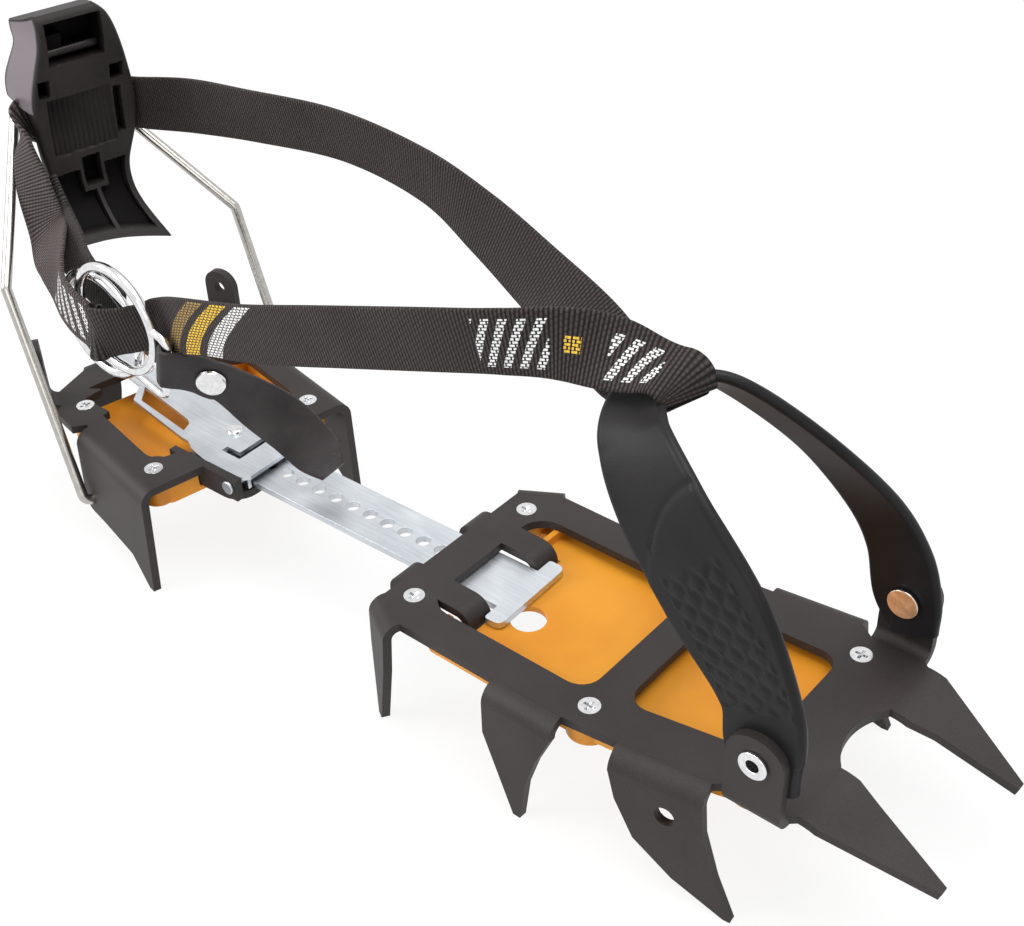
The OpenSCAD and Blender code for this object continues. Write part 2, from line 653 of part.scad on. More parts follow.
module heel_bail() {
  z2 = lever_axis_z - 47;
  p = [
    [bail_u, -heel_h + 1, bail_z], [bail_u, -bail_v, bail_z], [-63.6, -bail_v + 1, z2],
    [axis_u, -axis_half, lever_axis_z], [axis_u, axis_half, lever_axis_z],
    [-63.6, bail_v - 1, z2], [bail_u, bail_v, bail_z], [bail_u, heel_h - 1, bail_z]
  ];
  color(wire_c) in_heel() bent_wire(p, bail_r, wire_d);
}

function lever_side() = let (z = lever_axis_z, h = lever_top) [
  [-57, z - 46], [-60, z - 40.5], [-68, z - 33], [-74, z - 22], [-75.5, z - 10], [-75, z + 2],
  [-72.5, z + 0.35 * h], [-68.5, z + 0.7 * h], [-67.5, z + 0.9 * h], [-71, z + h],
  [-80, z + h], [-86, z + 0.9 * h], [-91, z + 0.55 * h], [-93.4, z + 0.3 * h],
  [-94, z - 6], [-88, z - 21], [-79, z - 32], [-68, z - 41.5], [-60, z - 46.8]
];

module lever_cut(u0, v0, v1, z0, z1) {
  box(u0, -40, v0, v1, lever_axis_z + z0, lever_axis_z + z1);
}

module heel_lever() {
  z = lever_axis_z;
  w = lever_w / 2;
  color(lever_c) in_heel() difference() {
    union() {
      intersection() {
        translate([0, w + 1, 0]) rotate([90, 0, 0])
          linear_extrude(lever_w + 2) polygon(rounded(lever_side(), 1.4, 3));
        translate([-140, 0, 0]) rotate([90, 0, 90]) linear_extrude(120) polygon(rounded([
          [-w + 2.5, z - 48], [w - 2.5, z - 48], [w - 1, z - 40], [w - 3, z - 22], [w, z - 4],
          [w - 0.5, z + 0.35 * lever_top],
          [w - 2, z + 0.75 * lever_top], [w - 9, z + lever_top + 1], [-w + 9, z + lever_top + 1],
          [-w + 2, z + 0.75 * lever_top], [-w + 0.5, z + 0.35 * lever_top], [-w, z - 4], [-w + 3, z - 22],
          [-w + 1, z - 40]], [4, 4, 6, 12, 12, 12, 8, 5, 5, 8, 12, 12, 12, 6], 4));
      }
      translate([axis_u, 9, z]) rotate([90, 0, 0]) cylinder(r = wire_d / 2 + 3.6, h = 18);
      box(axis_u, -88, -9, 9, z - 5, z + 5);
    }
    translate([axis_u, 0, z]) rotate([90, 0, 0]) cylinder(d = wire_d + 2 * run_c, h = 60, center = true);
    for (s = [30, -9.01]) translate([axis_u, s, z]) rotate([90, 0, 0]) cylinder(r = 11.8, h = 20.99);
    box(-85.8 - strap_t / 2, -84.2 + strap_t / 2, -40, 40, z - strap_w / 2 - 5, z + strap_w / 2 + 1);
    for (s = [-1, 1])
      box(-78, -40, s * 13.4 - 2.3, s * 13.4 + 2.3, z + 0.32 * lever_top, z + 0.32 * lever_top + 4.6);
    lever_cut(-82, -12, 12, 0.46 * lever_top, 0.88 * lever_top);
    lever_cut(-76.2, -13, 10, -10.5, 7.5);
    for (i = [0:8]) lever_cut(-76.9, -12 + 2.4 * i, -10.8 + 2.4 * i, -9.5, 6.5);
    lever_cut(-78.5, 11.2, 13.4, -6.5, 9);
    lever_cut(-79, -3.6, 3.6, -22.5, -14);
    for (s = [0, 1]) mirror([0, s, 0]) {
      translate([-70, 0, 0]) rotate([90, 0, 90]) linear_extrude(40)
        polygon([[1.6, z - 35], [11.5, z - 39], [12, z - 30], [1.6, z - 30]]);
      translate([-75, 0, 0]) rotate([90, 0, 90]) linear_extrude(40)
        polygon([[1.6, z - 30], [12, z - 30], [12.5, z - 26], [9, z - 24], [5, z - 26]]);
    }
    translate([-76, 0, z + 0.64 * lever_top]) rotate([90, 0, 0])
      cylinder(d = 5 + 2 * run_c, h = 31, center = true);
  }
}

module lever_screw() {
  color(wire_c) in_heel() translate([-76, 0, lever_axis_z + 0.64 * lever_top]) rotate([90, 0, 0])
    difference() {
      cylinder(d = 5, h = 30, center = true);
      cylinder(d = 2.2, h = 40, center = true);
    }
}

module ankle_strap_far() {
  c = [
    from_heel([-85, 4, lever_axis_z - 1.5]), from_heel([-85, 12, lever_axis_z - 2.4]),
    from_heel([-84.5, 19.6, lever_axis_z - 2.8]), [-256, 34.6, 96.4], [-231, 36.3, 101], [-200, 36, 105],
    [-156, 36, 107.5], [-107, 30, 103], [-86, 25, 99], [-56, 16, 97], apex + [-29, 11, -1.5],
    apex + [-11, 4, -6.3], apex + [1, 1, -6.6], apex + [10, -0.6, -6], apex + [14.2, -1.2, -3.2]
  ];
  d = [
    [0, 0, 1], [0, 0, 1], [0, 0, 1], [0, 0, 1], [0, 0.05, 1], [0, 0.05, 1], [0, 0, 1], [0, -0.1, 1],
    [0, -0.1, 1], [0, -0.1, 1], [0.1, 0.4, 0.9], [0.08, 0.9, 0.3], [0.08, 1, -0.02], [0.18, 1, -0.05],
    [0.28, 1, 0]
  ];
  color(web_c) band(c, d, [for (i = c) strap_w], strap_t, 4);
}

module ankle_strap_near() {
  c = [
    apex + [15.8, -1.2, -1.6], apex + [15.4, -1.2, 2], apex + [12, -1.6, 5.4], apex + [4, -2.2, 6.8],
    apex + [-9, -8, 9.5], apex + [-21, -14, 10], [-37, -24, 105.5], [-58.7, -28, 100], [-97, -30, 87.6],
    [-133.5, -29.6, 74.7],
    [-165, -28.8, 66], [-184, -28, 60.5], [-190.5, -28.6, 58.6], [-196, -32, 56.6], [-200.4, -36.8, 53.6],
    [-204.3, -39, 51]
  ];
  d = [
    [0.28, 1, 0.1], [0.28, 1, 0.12], [0.2, 1, 0.2], [0.1, 0.95, 0.3], [0.2, 0.6, 0.75], [0.25, 0.3, 0.92],
    [0.3, 0.1, 1], [0.3, 0, 1], [0.3, 0, 1], [0.3, 0, 1], [0.3, 0, 1], [0.3, 0, 1], [0.25, 0, 1],
    [0.15, 0.08, 1], [0.05, 0.18, 1], [0, 0.25, 1]
  ];
  color(web_c) band(c, d, [for (i = c) strap_w], strap_t, 4);
}

module buckle_strap() {
  y = ring_b[1] - ring_wire / 2 - gap_c - strap_t / 2;
  c = [
    from_heel([-85, -8, lever_axis_z]), from_heel([-85, -19, lever_axis_z - 0.5]),
    from_heel([-81, -23, lever_axis_z - 7]), from_heel([-74.2, -24.5, lever_axis_z - 18]),
    from_heel([-67, -26, lever_axis_z - 34]), [-238, y + 2.6, 52], [-226, y + 0.2, 47.5], [-215, y, 45],
    [-208, y, 43.4]
  ];
  d = [
    [0, 0, 1], [0, 0, 1], [0.6, -0.3, 0.7], [0.95, 0, 0.3], [0.85, 0, 0.5], [0.5, 0, 0.85], [0.3, 0, 0.95],
    [0.3, 0, 0.95], [0.3, 0, 0.95]
  ];
  color(web_c) band(c, d, [for (i = c) strap_w], strap_t, 4);
}

module ring(p) {
  translate(p) rotate([90, 0, 0]) rotate_extrude() translate([ring_r, 0]) circle(d = ring_wire);
}

module ring_inner() {
  color(wire_c) ring(ring_a);
}

// The outer ring carries a side loop for the pull tab.
module ring_outer() {
  p = [
    ring_b + ring_r * [cos(8), 0, sin(8)], loop_m + 12.5 * loop_b, loop_m - 12.5 * loop_b,
    ring_b + ring_r * [cos(75), 0, -sin(75)]
  ];
  color(wire_c) {
    ring(ring_b);
    bent_wire(p, 4, loop_d);
  }
}

module on_tab() {
  translate(tab_at) rotate([0, acos(-tab_n[2] / norm(tab_n)), atan2(-tab_n[1], -tab_n[0])]) children();
}

function round_loop(a) = loop_m + tab_r * (cos(a) * tab_g + sin(a) * tab_n);

// The tab is hooked round the loop.
module pull_tab() {
  c = [
    round_loop(60), round_loop(100), round_loop(140), round_loop(180), round_loop(220), round_loop(260),
    tab_at - 9 * tab_g - 0.8 * tab_n, tab_at - 4.5 * tab_g, tab_at, tab_at + 4.5 * tab_g - 2 * loop_b,
    [-157.7, -13.6, 30], [-150.3, -6.4, 18.5], [-143, -1.7, 8.5], [-136.2, -1.3, 4.5]
  ];
  d = [
    loop_b, loop_b, loop_b, loop_b, loop_b, loop_b, loop_b, loop_b, loop_b, loop_b, [0.15, 0.3, 0.93],
    [-0.1, 0.55, 0.83], [0, 0.75, 0.66], [0, 0.9, 0.4]
  ];
  w = tab_w / 17 * [11.5, 12, 12, 12, 12, 12, 14, 17, 18, 19, 20, 20, 18, 10];
  color(rubber_c) difference() {
    band(c, d, w, tab_t, 4);
    on_tab() rod(2.2, -6, 6);
  }
}

module tab_rivet() {
  color(wire_c) on_tab() {
    rod(2, -tab_t / 2 - 1, tab_t / 2 + 1);
    translate([0, 0, tab_t / 2 + 0.5]) cylinder(d1 = 11, d2 = 9.6, h = 1.2);
    rod(3.6, -tab_t / 2 - 1.6, -tab_t / 2 - 0.6);
  }
}

front_plate();
front_anti_balling_plate();
front_screws();
toe_rivets();
toe_strap();
link_bar();
heel_plate();
heel_anti_balling_plate();
heel_screws();
lock_clip();
lock_pin();
clip_rivet();
clip_pivots();
heel_bail();
heel_lever();
lever_screw();
ankle_strap_far();
ankle_strap_near();
buckle_strap();
ring_inner();
ring_outer();
pull_tab();
tab_rivet();
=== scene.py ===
import json
import math
import bmesh
import bpy
import numpy as np
from mathutils import Matrix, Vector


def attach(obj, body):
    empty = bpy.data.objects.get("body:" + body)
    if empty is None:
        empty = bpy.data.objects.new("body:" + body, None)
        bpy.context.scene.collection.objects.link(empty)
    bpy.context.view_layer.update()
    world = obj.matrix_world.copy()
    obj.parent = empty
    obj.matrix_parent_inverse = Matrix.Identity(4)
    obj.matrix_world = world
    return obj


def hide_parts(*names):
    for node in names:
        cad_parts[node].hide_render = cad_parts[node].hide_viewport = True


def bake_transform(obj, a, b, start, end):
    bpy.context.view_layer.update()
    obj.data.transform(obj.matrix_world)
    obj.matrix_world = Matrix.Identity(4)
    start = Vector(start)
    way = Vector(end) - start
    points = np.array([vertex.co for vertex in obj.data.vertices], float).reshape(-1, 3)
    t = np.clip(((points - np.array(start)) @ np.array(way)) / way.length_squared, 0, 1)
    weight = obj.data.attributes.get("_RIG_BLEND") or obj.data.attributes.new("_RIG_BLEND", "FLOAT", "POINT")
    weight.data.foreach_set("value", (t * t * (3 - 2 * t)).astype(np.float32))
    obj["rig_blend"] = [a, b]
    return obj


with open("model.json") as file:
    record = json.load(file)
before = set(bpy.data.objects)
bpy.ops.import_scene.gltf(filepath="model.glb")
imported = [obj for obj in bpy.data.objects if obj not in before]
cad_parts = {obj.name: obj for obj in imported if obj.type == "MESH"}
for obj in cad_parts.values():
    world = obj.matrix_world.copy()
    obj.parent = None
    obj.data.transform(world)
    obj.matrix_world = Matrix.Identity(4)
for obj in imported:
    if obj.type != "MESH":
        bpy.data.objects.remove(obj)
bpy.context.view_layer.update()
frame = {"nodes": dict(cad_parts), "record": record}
print("frame loaded:", len(frame["nodes"]), "nodes")

mm = 0.001


def linked(name, data):
    thing = bpy.data.objects.new(name, data)
    bpy.context.scene.collection.objects.link(thing)
    return thing


# matrix of a camera or lamp from its right, up and back axes and its place
def placed(right, up, back, at):
    m = Matrix.Identity(4)
    for i in range(3):
        m[i][0], m[i][1], m[i][2], m[i][3] = right[i], up[i], back[i], at[i]
    return m


# camera fitted to the photograph: right, down and forward axes as rows
cameraSet = {
    "eye": (0.190868, -0.281403, 0.318798),
    "rows": (
        (0.766475, 0.641579, -0.029861),
        (0.362053, -0.470000, -0.804996),
        (-0.530503, 0.606198, -0.592529),
    ),
    "lens": 53.970, "sensor": 36, "clip": (0.01, 50),
}


def makeCamera(spec):
    right, down, ahead = (np.array(r) for r in spec["rows"])
    data = bpy.data.cameras.new("camera")
    data.lens, data.sensor_width = spec["lens"], spec["sensor"]
    data.clip_start, data.clip_end = spec["clip"]
    camera = linked("camera", data)
    camera.matrix_world = placed(right, -down, -ahead, spec["eye"])
    bpy.context.scene.camera = camera


makeCamera(cameraSet)
bpy.context.scene.view_settings.view_transform = "Standard"
print("camera placed")


# node helpers: feed() links or sets sockets, put() adds a node, calc() is one math step
def newFinish(name):
    mat = bpy.data.materials.new(name)
    mat.use_nodes = True
    return mat, mat.node_tree, mat.node_tree.nodes["Principled BSDF"]


def feed(tree, node, sockets):
    for key, value in sockets.items():
        if isinstance(value, bpy.types.NodeSocket):
            tree.links.new(value, node.inputs[key])
        else:
            node.inputs[key].default_value = value


def put(tree, kind, sockets=None, **props):
    node = tree.nodes.new(kind)
    for key, value in props.items():
        setattr(node, key, value)
    feed(tree, node, sockets or {})
    return node


def calc(tree, op, a, b=None, c=None):
    given = {i: v for i, v in enumerate((a, b, c)) if v is not None}
    return put(tree, "ShaderNodeMath", given, operation=op).outputs[0]


def weigh(tree, a, b, share):
    return calc(tree, "ADD", calc(tree, "MULTIPLY", a, share), calc(tree, "MULTIPLY", b, 1 - share))


def mixTone(tree, fac, a, b):
    return put(tree, "ShaderNodeMix", {0: fac, 6: a, 7: b}, data_type="RGBA").outputs[2]


def tone(r, g, b):
    return (r, g, b, 1)


def dimmed(colour, share):
    return tone(*(c * share for c in colour[:3]))


def objectPoint(tree, stretch=None):
    point = put(tree, "ShaderNodeTexCoord").outputs["Object"]
    if stretch is None:
        return point
    return put(tree, "ShaderNodeMapping", {"Vector": point, "Scale": stretch}).outputs[0]


def mapUv(tree):
    return put(tree, "ShaderNodeSeparateXYZ", {0: put(tree, "ShaderNodeTexCoord").outputs["UV"]}).outputs


def noiseAt(tree, point, scale, detail=3, rough=0.5):
    given = {"Vector": point, "Scale": scale, "Detail": detail, "Roughness": rough}
    return put(tree, "ShaderNodeTexNoise", given).outputs[0]


def spread(tree, value, reach):
    given = {"Value": value, "To Min": reach[0], "To Max": reach[1]}
    return put(tree, "ShaderNodeMapRange", given).outputs[0]


def shade(tree, fac, stops, dark, light):
    node = put(tree, "ShaderNodeValToRGB", {"Fac": fac})
    for stop, at, colour in zip(node.color_ramp.elements, stops, (dark, light)):
        stop.position, stop.color = at, colour
    return node.outputs[0]


def bumpFrom(tree, shader, height, strength, distance):
    bump = put(tree, "ShaderNodeBump", {"Height": height, "Strength": strength, "Distance": distance})
    tree.links.new(bump.outputs[0], shader.inputs["Normal"])


# in the looks a noise is scale, detail and roughness, and a bump is strength and distance in metres
powderLook = {
    "dark": tone(0.013, 0.0105, 0.0103), "light": tone(0.040, 0.032, 0.031), "stops": (0.30, 0.72),
    "grain": (2600, 2, 0.6), "cloud": (45, 4), "grainShare": 0.65, "rough": (0.44, 0.62), "specular": 0.30,
    "bump": (0.35, 0.00012),
}


def powderCoat(look):
    mat, tree, shader = newFinish("powderCoat")
    point = objectPoint(tree)
    grain = noiseAt(tree, point, *look["grain"])
    speck = weigh(tree, grain, noiseAt(tree, point, *look["cloud"]), look["grainShare"])
    feed(tree, shader, {
        "Base Color": shade(tree, speck, look["stops"], look["dark"], look["light"]),
        "Roughness": spread(tree, grain, look["rough"]),
        "Specular IOR Level": look["specular"],
    })
    bumpFrom(tree, shader, grain, *look["bump"])
    return mat


amberLook = {
    "dark": tone(0.60, 0.213, 0.011), "light": tone(0.73, 0.31, 0.027), "stops": (0.32, 0.62),
    "cloud": (22, 3), "fine": (900, 2), "bump": (0.12, 0.0001),
    "set": {"Roughness": 0.36, "Specular IOR Level": 0.28, "Subsurface Weight": 0.25,
            "Subsurface Radius": (1.0, 0.45, 0.08), "Subsurface Scale": 0.003},
}


def amberPlastic(look):
    mat, tree, shader = newFinish("amberPlastic")
    point = objectPoint(tree)
    cloud = noiseAt(tree, point, *look["cloud"])
    feed(tree, shader, {"Base Color": shade(tree, cloud, look["stops"], look["dark"], look["light"])})
    feed(tree, shader, look["set"])
    bumpFrom(tree, shader, noiseAt(tree, point, *look["fine"]), *look["bump"])
    return mat


zincLook = {
    "dark": tone(0.50, 0.53, 0.57), "light": tone(0.74, 0.77, 0.80), "stops": (0.3, 0.7),
    "stretch": (60, 900, 900), "drawn": (1, 4, 0.6), "cloud": (60, 3), "drawnShare": 0.5,
    "rough": (0.30, 0.46), "bump": (0.1, 0.0001),
}


def zincSteel(look):
    mat, tree, shader = newFinish("zincSteel")
    drawn = noiseAt(tree, objectPoint(tree, look["stretch"]), *look["drawn"])
    both = weigh(tree, drawn, noiseAt(tree, objectPoint(tree), *look["cloud"]), look["drawnShare"])
    feed(tree, shader, {
        "Base Color": shade(tree, both, look["stops"], look["dark"], look["light"]),
        "Roughness": spread(tree, drawn, look["rough"]),
        "Metallic": 1,
    })
    bumpFrom(tree, shader, drawn, *look["bump"])
    return mat


polishLook = {"scuff": (420, 4, 0.65), "stops": (0.3, 0.65), "dull": 0.8, "roughShare": (0.6, 1.5)}


def polishedSteel(name, base, rough, look=polishLook):
    mat, tree, shader = newFinish(name)
    scuff = noiseAt(tree, objectPoint(tree), *look["scuff"])
    feed(tree, shader, {
        "Base Color": shade(tree, scuff, look["stops"], dimmed(base, look["dull"]), base),
        "Roughness": spread(tree, scuff, [rough * share for share in look["roughShare"]]),
        "Metallic": 1,
    })
    return mat


# wall is the side walls' tone, painted lighter as painted light; deep is the near-black painted shade in the
# recesses
leverLook = {
    "dark": tone(0.0090, 0.0074, 0.0074), "light": tone(0.026, 0.0212, 0.0210), "stops": (0.3, 0.7),
    "wall": tone(0.17, 0.145, 0.16), "deep": tone(0.0022, 0.0018, 0.0018), "grain": (1500, 3, 0.6),
    "cloud": (70, 3), "grainShare": 0.4, "shadePerMm": 0.26, "shadeMost": 0.9, "rough": (0.55, 0.38),
    "specular": (0.22, 0.03), "bump": (0.3, 0.0002),
}


# u of the UV map is the depth of a recess in millimetres, which darkens the recesses as painted shade and
# dims their specular; v marks the smoother side walls, painted lighter as painted light from the side
def leverPlastic(look):
    mat, tree, shader = newFinish("leverPlastic")
    point = objectPoint(tree)
    grain = noiseAt(tree, point, *look["grain"])
    both = weigh(tree, grain, noiseAt(tree, point, *look["cloud"]), look["grainShare"])
    uv = mapUv(tree)
    # recesses darken with their depth as painted shade
    paintedRecessShade = calc(tree, "MINIMUM", calc(tree, "MULTIPLY", uv[0], look["shadePerMm"]), look["shadeMost"])
    face = shade(tree, both, look["stops"], look["dark"], look["light"])
    # the side walls are painted lighter as painted light
    body = mixTone(tree, uv[1], face, look["wall"])
    feed(tree, shader, {
        "Base Color": mixTone(tree, paintedRecessShade, body, look["deep"]),
        "Roughness": spread(tree, uv[1], look["rough"]),
        "Specular IOR Level": spread(tree, paintedRecessShade, look["specular"]),
    })
    bumpFrom(tree, shader, grain, *look["bump"])
    return mat


rubberLook = {
    "dark": tone(0.0048, 0.0042, 0.0045), "light": tone(0.0125, 0.0110, 0.0118), "stops": (0.3, 0.7),
    "grain": (1300, 3, 0.6), "cloud": (38, 4), "rough": (0.38, 0.56), "bump": (0.25, 0.00015),
    "set": {"Specular IOR Level": 0.2, "Sheen Weight": 0.05, "Sheen Tint": tone(0.75, 0.82, 1.0),
            "Sheen Roughness": 0.4},
}


def toeRubber(look):
    mat, tree, shader = newFinish("toeRubber")
    point = objectPoint(tree)
    cloud = noiseAt(tree, point, *look["cloud"])
    feed(tree, shader, {
        "Base Color": shade(tree, cloud, look["stops"], look["dark"], look["light"]),
        "Roughness": spread(tree, cloud, look["rough"]),
    })
    feed(tree, shader, look["set"])
    bumpFrom(tree, shader, noiseAt(tree, point, *look["grain"]), *look["bump"])
    return mat


leatherLook = {
    "dark": tone(0.017, 0.0145, 0.015), "light": tone(0.045, 0.039, 0.040), "stops": (0.3, 0.7),
    "cell": 900, "cloud": (60, 4), "bump": (0.3, 0.00025),
    "set": {"Roughness": 0.5, "Specular IOR Level": 0.28},
}


def tabLeather(look):
    mat, tree, shader = newFinish("tabLeather")
    point = objectPoint(tree)
    cell = put(tree, "ShaderNodeTexVoronoi", {"Vector": point, "Scale": look["cell"]}).outputs["Distance"]
    cloud = noiseAt(tree, point, *look["cloud"])
    feed(tree, shader, {"Base Color": shade(tree, cloud, look["stops"], look["dark"], look["light"])})
    feed(tree, shader, look["set"])
    bumpFrom(tree, shader, cell, *look["bump"])
    return mat


# woven strap: u and v of the UV map are millimetres along and across the strap
weaveLook = {
    "dark": tone(0.0070, 0.0056, 0.0056), "light": tone(0.078, 0.064, 0.062), "stops": (0.08, 0.95),
    "rib": 1.15, "row": 1.7, "ribShift": 0.37, "nick": 0.45, "nickPower": 0.5, "litPower": 1.6,
    "fuzz": (1900, 3, 0.7), "patch": (55, 4), "patchShare": 0.5,
    "dash": 2.0, "dashRow": 0.95, "dashShift": 0.5, "dashShare": 0.74, "rowShare": 0.72,
    "halfWidth": 10, "bowPower": 1.6, "bump": (0.7, 0.0004),
    "set": {"Roughness": 0.72, "Specular IOR Level": 0.14, "Sheen Weight": 0.06,
            "Sheen Tint": tone(0.9, 0.8, 0.75)},
}


def wovenStrap(name, marks, paintedLightShare=1.0, look=weaveLook):
    mat, tree, shader = newFinish(name)
    uv = mapUv(tree)
    u, v = uv[0], uv[1]

    def do(op, a, b=None, c=None):
        return calc(tree, op, a, b, c)

    def humps(value):
        return do("ABSOLUTE", do("SINE", do("MULTIPLY", value, math.pi)))

    # ribs are humps along u right across the strap, nicked in short rows that shift from rib to rib
    phase = do("DIVIDE", u, look["rib"])
    ribShift = do("MULTIPLY", do("FLOOR", phase), look["ribShift"])
    lane = humps(do("ADD", do("DIVIDE", v, look["row"]), ribShift))
    nick = do("ADD", do("MULTIPLY", do("POWER", lane, look["nickPower"]), look["nick"]), 1 - look["nick"])
    height = do("MULTIPLY", humps(phase), nick)
    fuzz = noiseAt(tree, objectPoint(tree), *look["fuzz"])
    patch = noiseAt(tree, objectPoint(tree), *look["patch"])
    stray = do("ADD", fuzz, do("MULTIPLY", patch, look["patchShare"]))
    # the colour follows the rib height: crests are painted lighter as painted highlight, the hollows between
    # them darker as painted shade
    lit = do("MULTIPLY", do("POWER", height, look["litPower"]), stray)
    # both tones are scaled together, which gives a lighter copy of the weave as painted light
    cloth = shade(tree, lit, look["stops"], dimmed(look["dark"], paintedLightShare), dimmed(look["light"], paintedLightShare))
    # coloured yarn shows as short dashes along the strap, set over in every second row
    across = do("DIVIDE", v, look["dashRow"])
    shift = do("MULTIPLY", do("FLOOR", across), look["dashShift"])
    dashAt = do("FRACT", do("ADD", do("DIVIDE", u, look["dash"]), shift))
    inDash = do("LESS_THAN", dashAt, look["dashShare"])
    yarn = do("MULTIPLY", inDash, do("LESS_THAN", do("FRACT", across), look["rowShare"]))
    rise = do("MAXIMUM", do("DIVIDE", do("ADD", v, look["halfWidth"]), 2 * look["halfWidth"]), 0.001)
    for m in marks:
        # bars of coloured yarn inside a window of u and v, straight or bowed towards one end
        inU = do("MULTIPLY", do("GREATER_THAN", u, m["from"]), do("LESS_THAN", u, m["to"]))
        inV = do("LESS_THAN", do("ABSOLUTE", do("SUBTRACT", v, m.get("mid", 0))), m["reach"])
        if "bow" in m:
            lean = do("ADD", u, do("MULTIPLY", do("POWER", rise, look["bowPower"]), m["bow"]))
        else:
            lean = do("ADD", u, do("MULTIPLY", v, m["slant"]))
        step = do("DIVIDE", do("SUBTRACT", lean, m.get("start", 0)), m["pitch"])
        bar = do("LESS_THAN", do("FRACT", step), m["share"])
        mask = do("MULTIPLY", do("MULTIPLY", inU, inV), do("MULTIPLY", bar, yarn))
        if "bow" in m:
            mask = do("MULTIPLY", mask, do("COMPARE", do("FLOOR", step), 0, 0.5))
        cloth = mixTone(tree, mask, cloth, m["tone"])
    feed(tree, shader, {"Base Color": cloth})
    feed(tree, shader, look["set"])
    bumpFrom(tree, shader, height, *look["bump"])
    return mat


coat, amber, zinc = powderCoat(powderLook), amberPlastic(amberLook), zincSteel(zincLook)
plastic, rubber, leather = leverPlastic(leverLook), toeRubber(rubberLook), tabLeather(leatherLook)
chrome = polishedSteel("ringSteel", tone(0.83, 0.83, 0.84), 0.14)
wireSteel = polishedSteel("wireSteel", tone(0.52, 0.50, 0.47), 0.22)
copperHead = polishedSteel("copperHead", tone(1.0, 0.62, 0.35), 0.5)
# the lever screw's steel is painted near black, as painted shade inside the hood
pinSteelPaintedShade = polishedSteel("pinSteelPaintedShade", tone(0.035, 0.032, 0.032), 0.3)
print("finishes made")

# weld distance in metres, flat and sharp angles in radians
easing = {"weld": 3e-6, "flat": 0.004, "sharp": math.radians(32), "segments": 2}


# a CAD solid as a merged copy with its edges eased by a live bevel
def easedCopy(node, mat, ease, slotName):
    mesh = frame["nodes"][node].data.copy()
    mesh.name = node + "Eased"
    for name in [a.name for a in mesh.attributes if a.name == "custom_normal"]:
        mesh.attributes.remove(mesh.attributes[name])
    bm = bmesh.new()
    bm.from_mesh(mesh)
    bmesh.ops.remove_doubles(bm, verts=bm.verts, dist=easing["weld"])
    bmesh.ops.dissolve_limit(bm, angle_limit=easing["flat"], verts=bm.verts, edges=bm.edges, delimit=set())
    bm.to_mesh(mesh)
    bm.free()
    mesh.polygons.foreach_set("use_smooth", [True] * len(mesh.polygons))
    mesh.set_sharp_from_angle(angle=easing["sharp"])
    mesh.materials.clear()
    mesh.materials.append(mat)
    piece = linked(node + "Eased", mesh)
    if ease:
        bevel = piece.modifiers.new("ease", "BEVEL")
        bevel.width, bevel.segments, bevel.limit_method = ease * mm, easing["segments"], "ANGLE"
        bevel.angle_limit, bevel.use_clamp_overlap = easing["sharp"], True
        bevel.harden_normals = False
    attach(piece, next(b for b, names in frame["record"]["behaviour"]["bodies"].items() if node in names))
    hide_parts(node)
    return piece


# finish, edge easing in millimetres and material slot of each hard piece
hardSet = {
    "front_plate": (coat, 0.45, "coated_steel"),
    "heel_plate": (coat, 0.45, "coated_steel"),
    "front_anti_balling_plate": (amber, 0.35, "amber_plastic"),
    "heel_anti_balling_plate": (amber, 0.35, "amber_plastic"),
    "front_screws": (chrome, 0.1, "zinc_steel"),
    "heel_screws": (chrome, 0.1, "zinc_steel"),
    "toe_rivets": (chrome, 0.2, "polished_steel"),
    "link_bar": (zinc, 0.25, "zinc_steel"),
    "lock_clip": (zinc, 0.25, "zinc_steel"),
    "lock_pin": (zinc, 0.2, "zinc_steel"),
    "clip_rivet": (chrome, 0.3, "polished_steel"),
    "clip_pivots": (zinc, 0.2, "zinc_steel"),
    "heel_bail": (wireSteel, 0, "polished_steel"),
    "heel_lever": (plastic, 0, "black_plastic"),
    "lever_screw": (pinSteelPaintedShade, 0.2, "zinc_steel"),
    "ring_inner": (chrome, 0, "polished_steel"),
    "ring_outer": (chrome, 0, "polished_steel"),
    "tab_rivet": (chrome, 0.35, "polished_steel"),
}
dressed = {name: easedCopy(name, *given) for name, given in hardSet.items()}


# flat inner head of the far toe rivet, the faces past farY that look back across the arch
def copperFaces(piece, farY=0.03, facing=-0.9):
    mesh = piece.data
    mesh.materials.append(copperHead)
    mid, out = np.zeros(len(mesh.polygons) * 3), np.zeros(len(mesh.polygons) * 3)
    mesh.polygons.foreach_get("center", mid)
    mesh.polygons.foreach_get("normal", out)
    chosen = (mid.reshape(-1, 3)[:, 1] > farY) & (out.reshape(-1, 3)[:, 1] < facing)
    mesh.polygons.foreach_set("material_index", chosen.astype(np.int32))


copperFaces(dressed["toe_rivets"])
print("solids dressed:", len(hardSet))


def unit(a):
    return a / np.maximum(np.linalg.norm(a, axis=-1, keepdims=True), 1e-12)


# smooth curve through the points, k steps between each two
def smoothLine(points, k):
    p = np.asarray(points, float)
    if p.ndim == 1:
        p = p[:, None]
    ends = np.concatenate([p[:1], p, p[-1:]])
    a, b, c, d = (q[:, None, :] for q in (ends[:-3], ends[1:-2], ends[2:-1], ends[3:]))
    t = (np.arange(k) / k)[None, :, None]
    out = 0.5 * (2 * b + (c - a) * t + (2 * a - 5 * b + 4 * c - d) * t**2 + (3 * b - a - 3 * c + d) * t**3)
    return np.concatenate([out.reshape(-1, p.shape[1]), p[-1:]])


# the heel unit stands turned: u runs along it, v across it
heelPlace = {"x": -187, "y": -3, "cos": math.cos(math.radians(10.9)), "sin": math.sin(math.radians(10.9))}


def fromHeel(u, v, z):
    c, s = heelPlace["cos"], heelPlace["sin"]
    return (heelPlace["x"] + u * c + v * s, heelPlace["y"] - u * s + v * c, z)


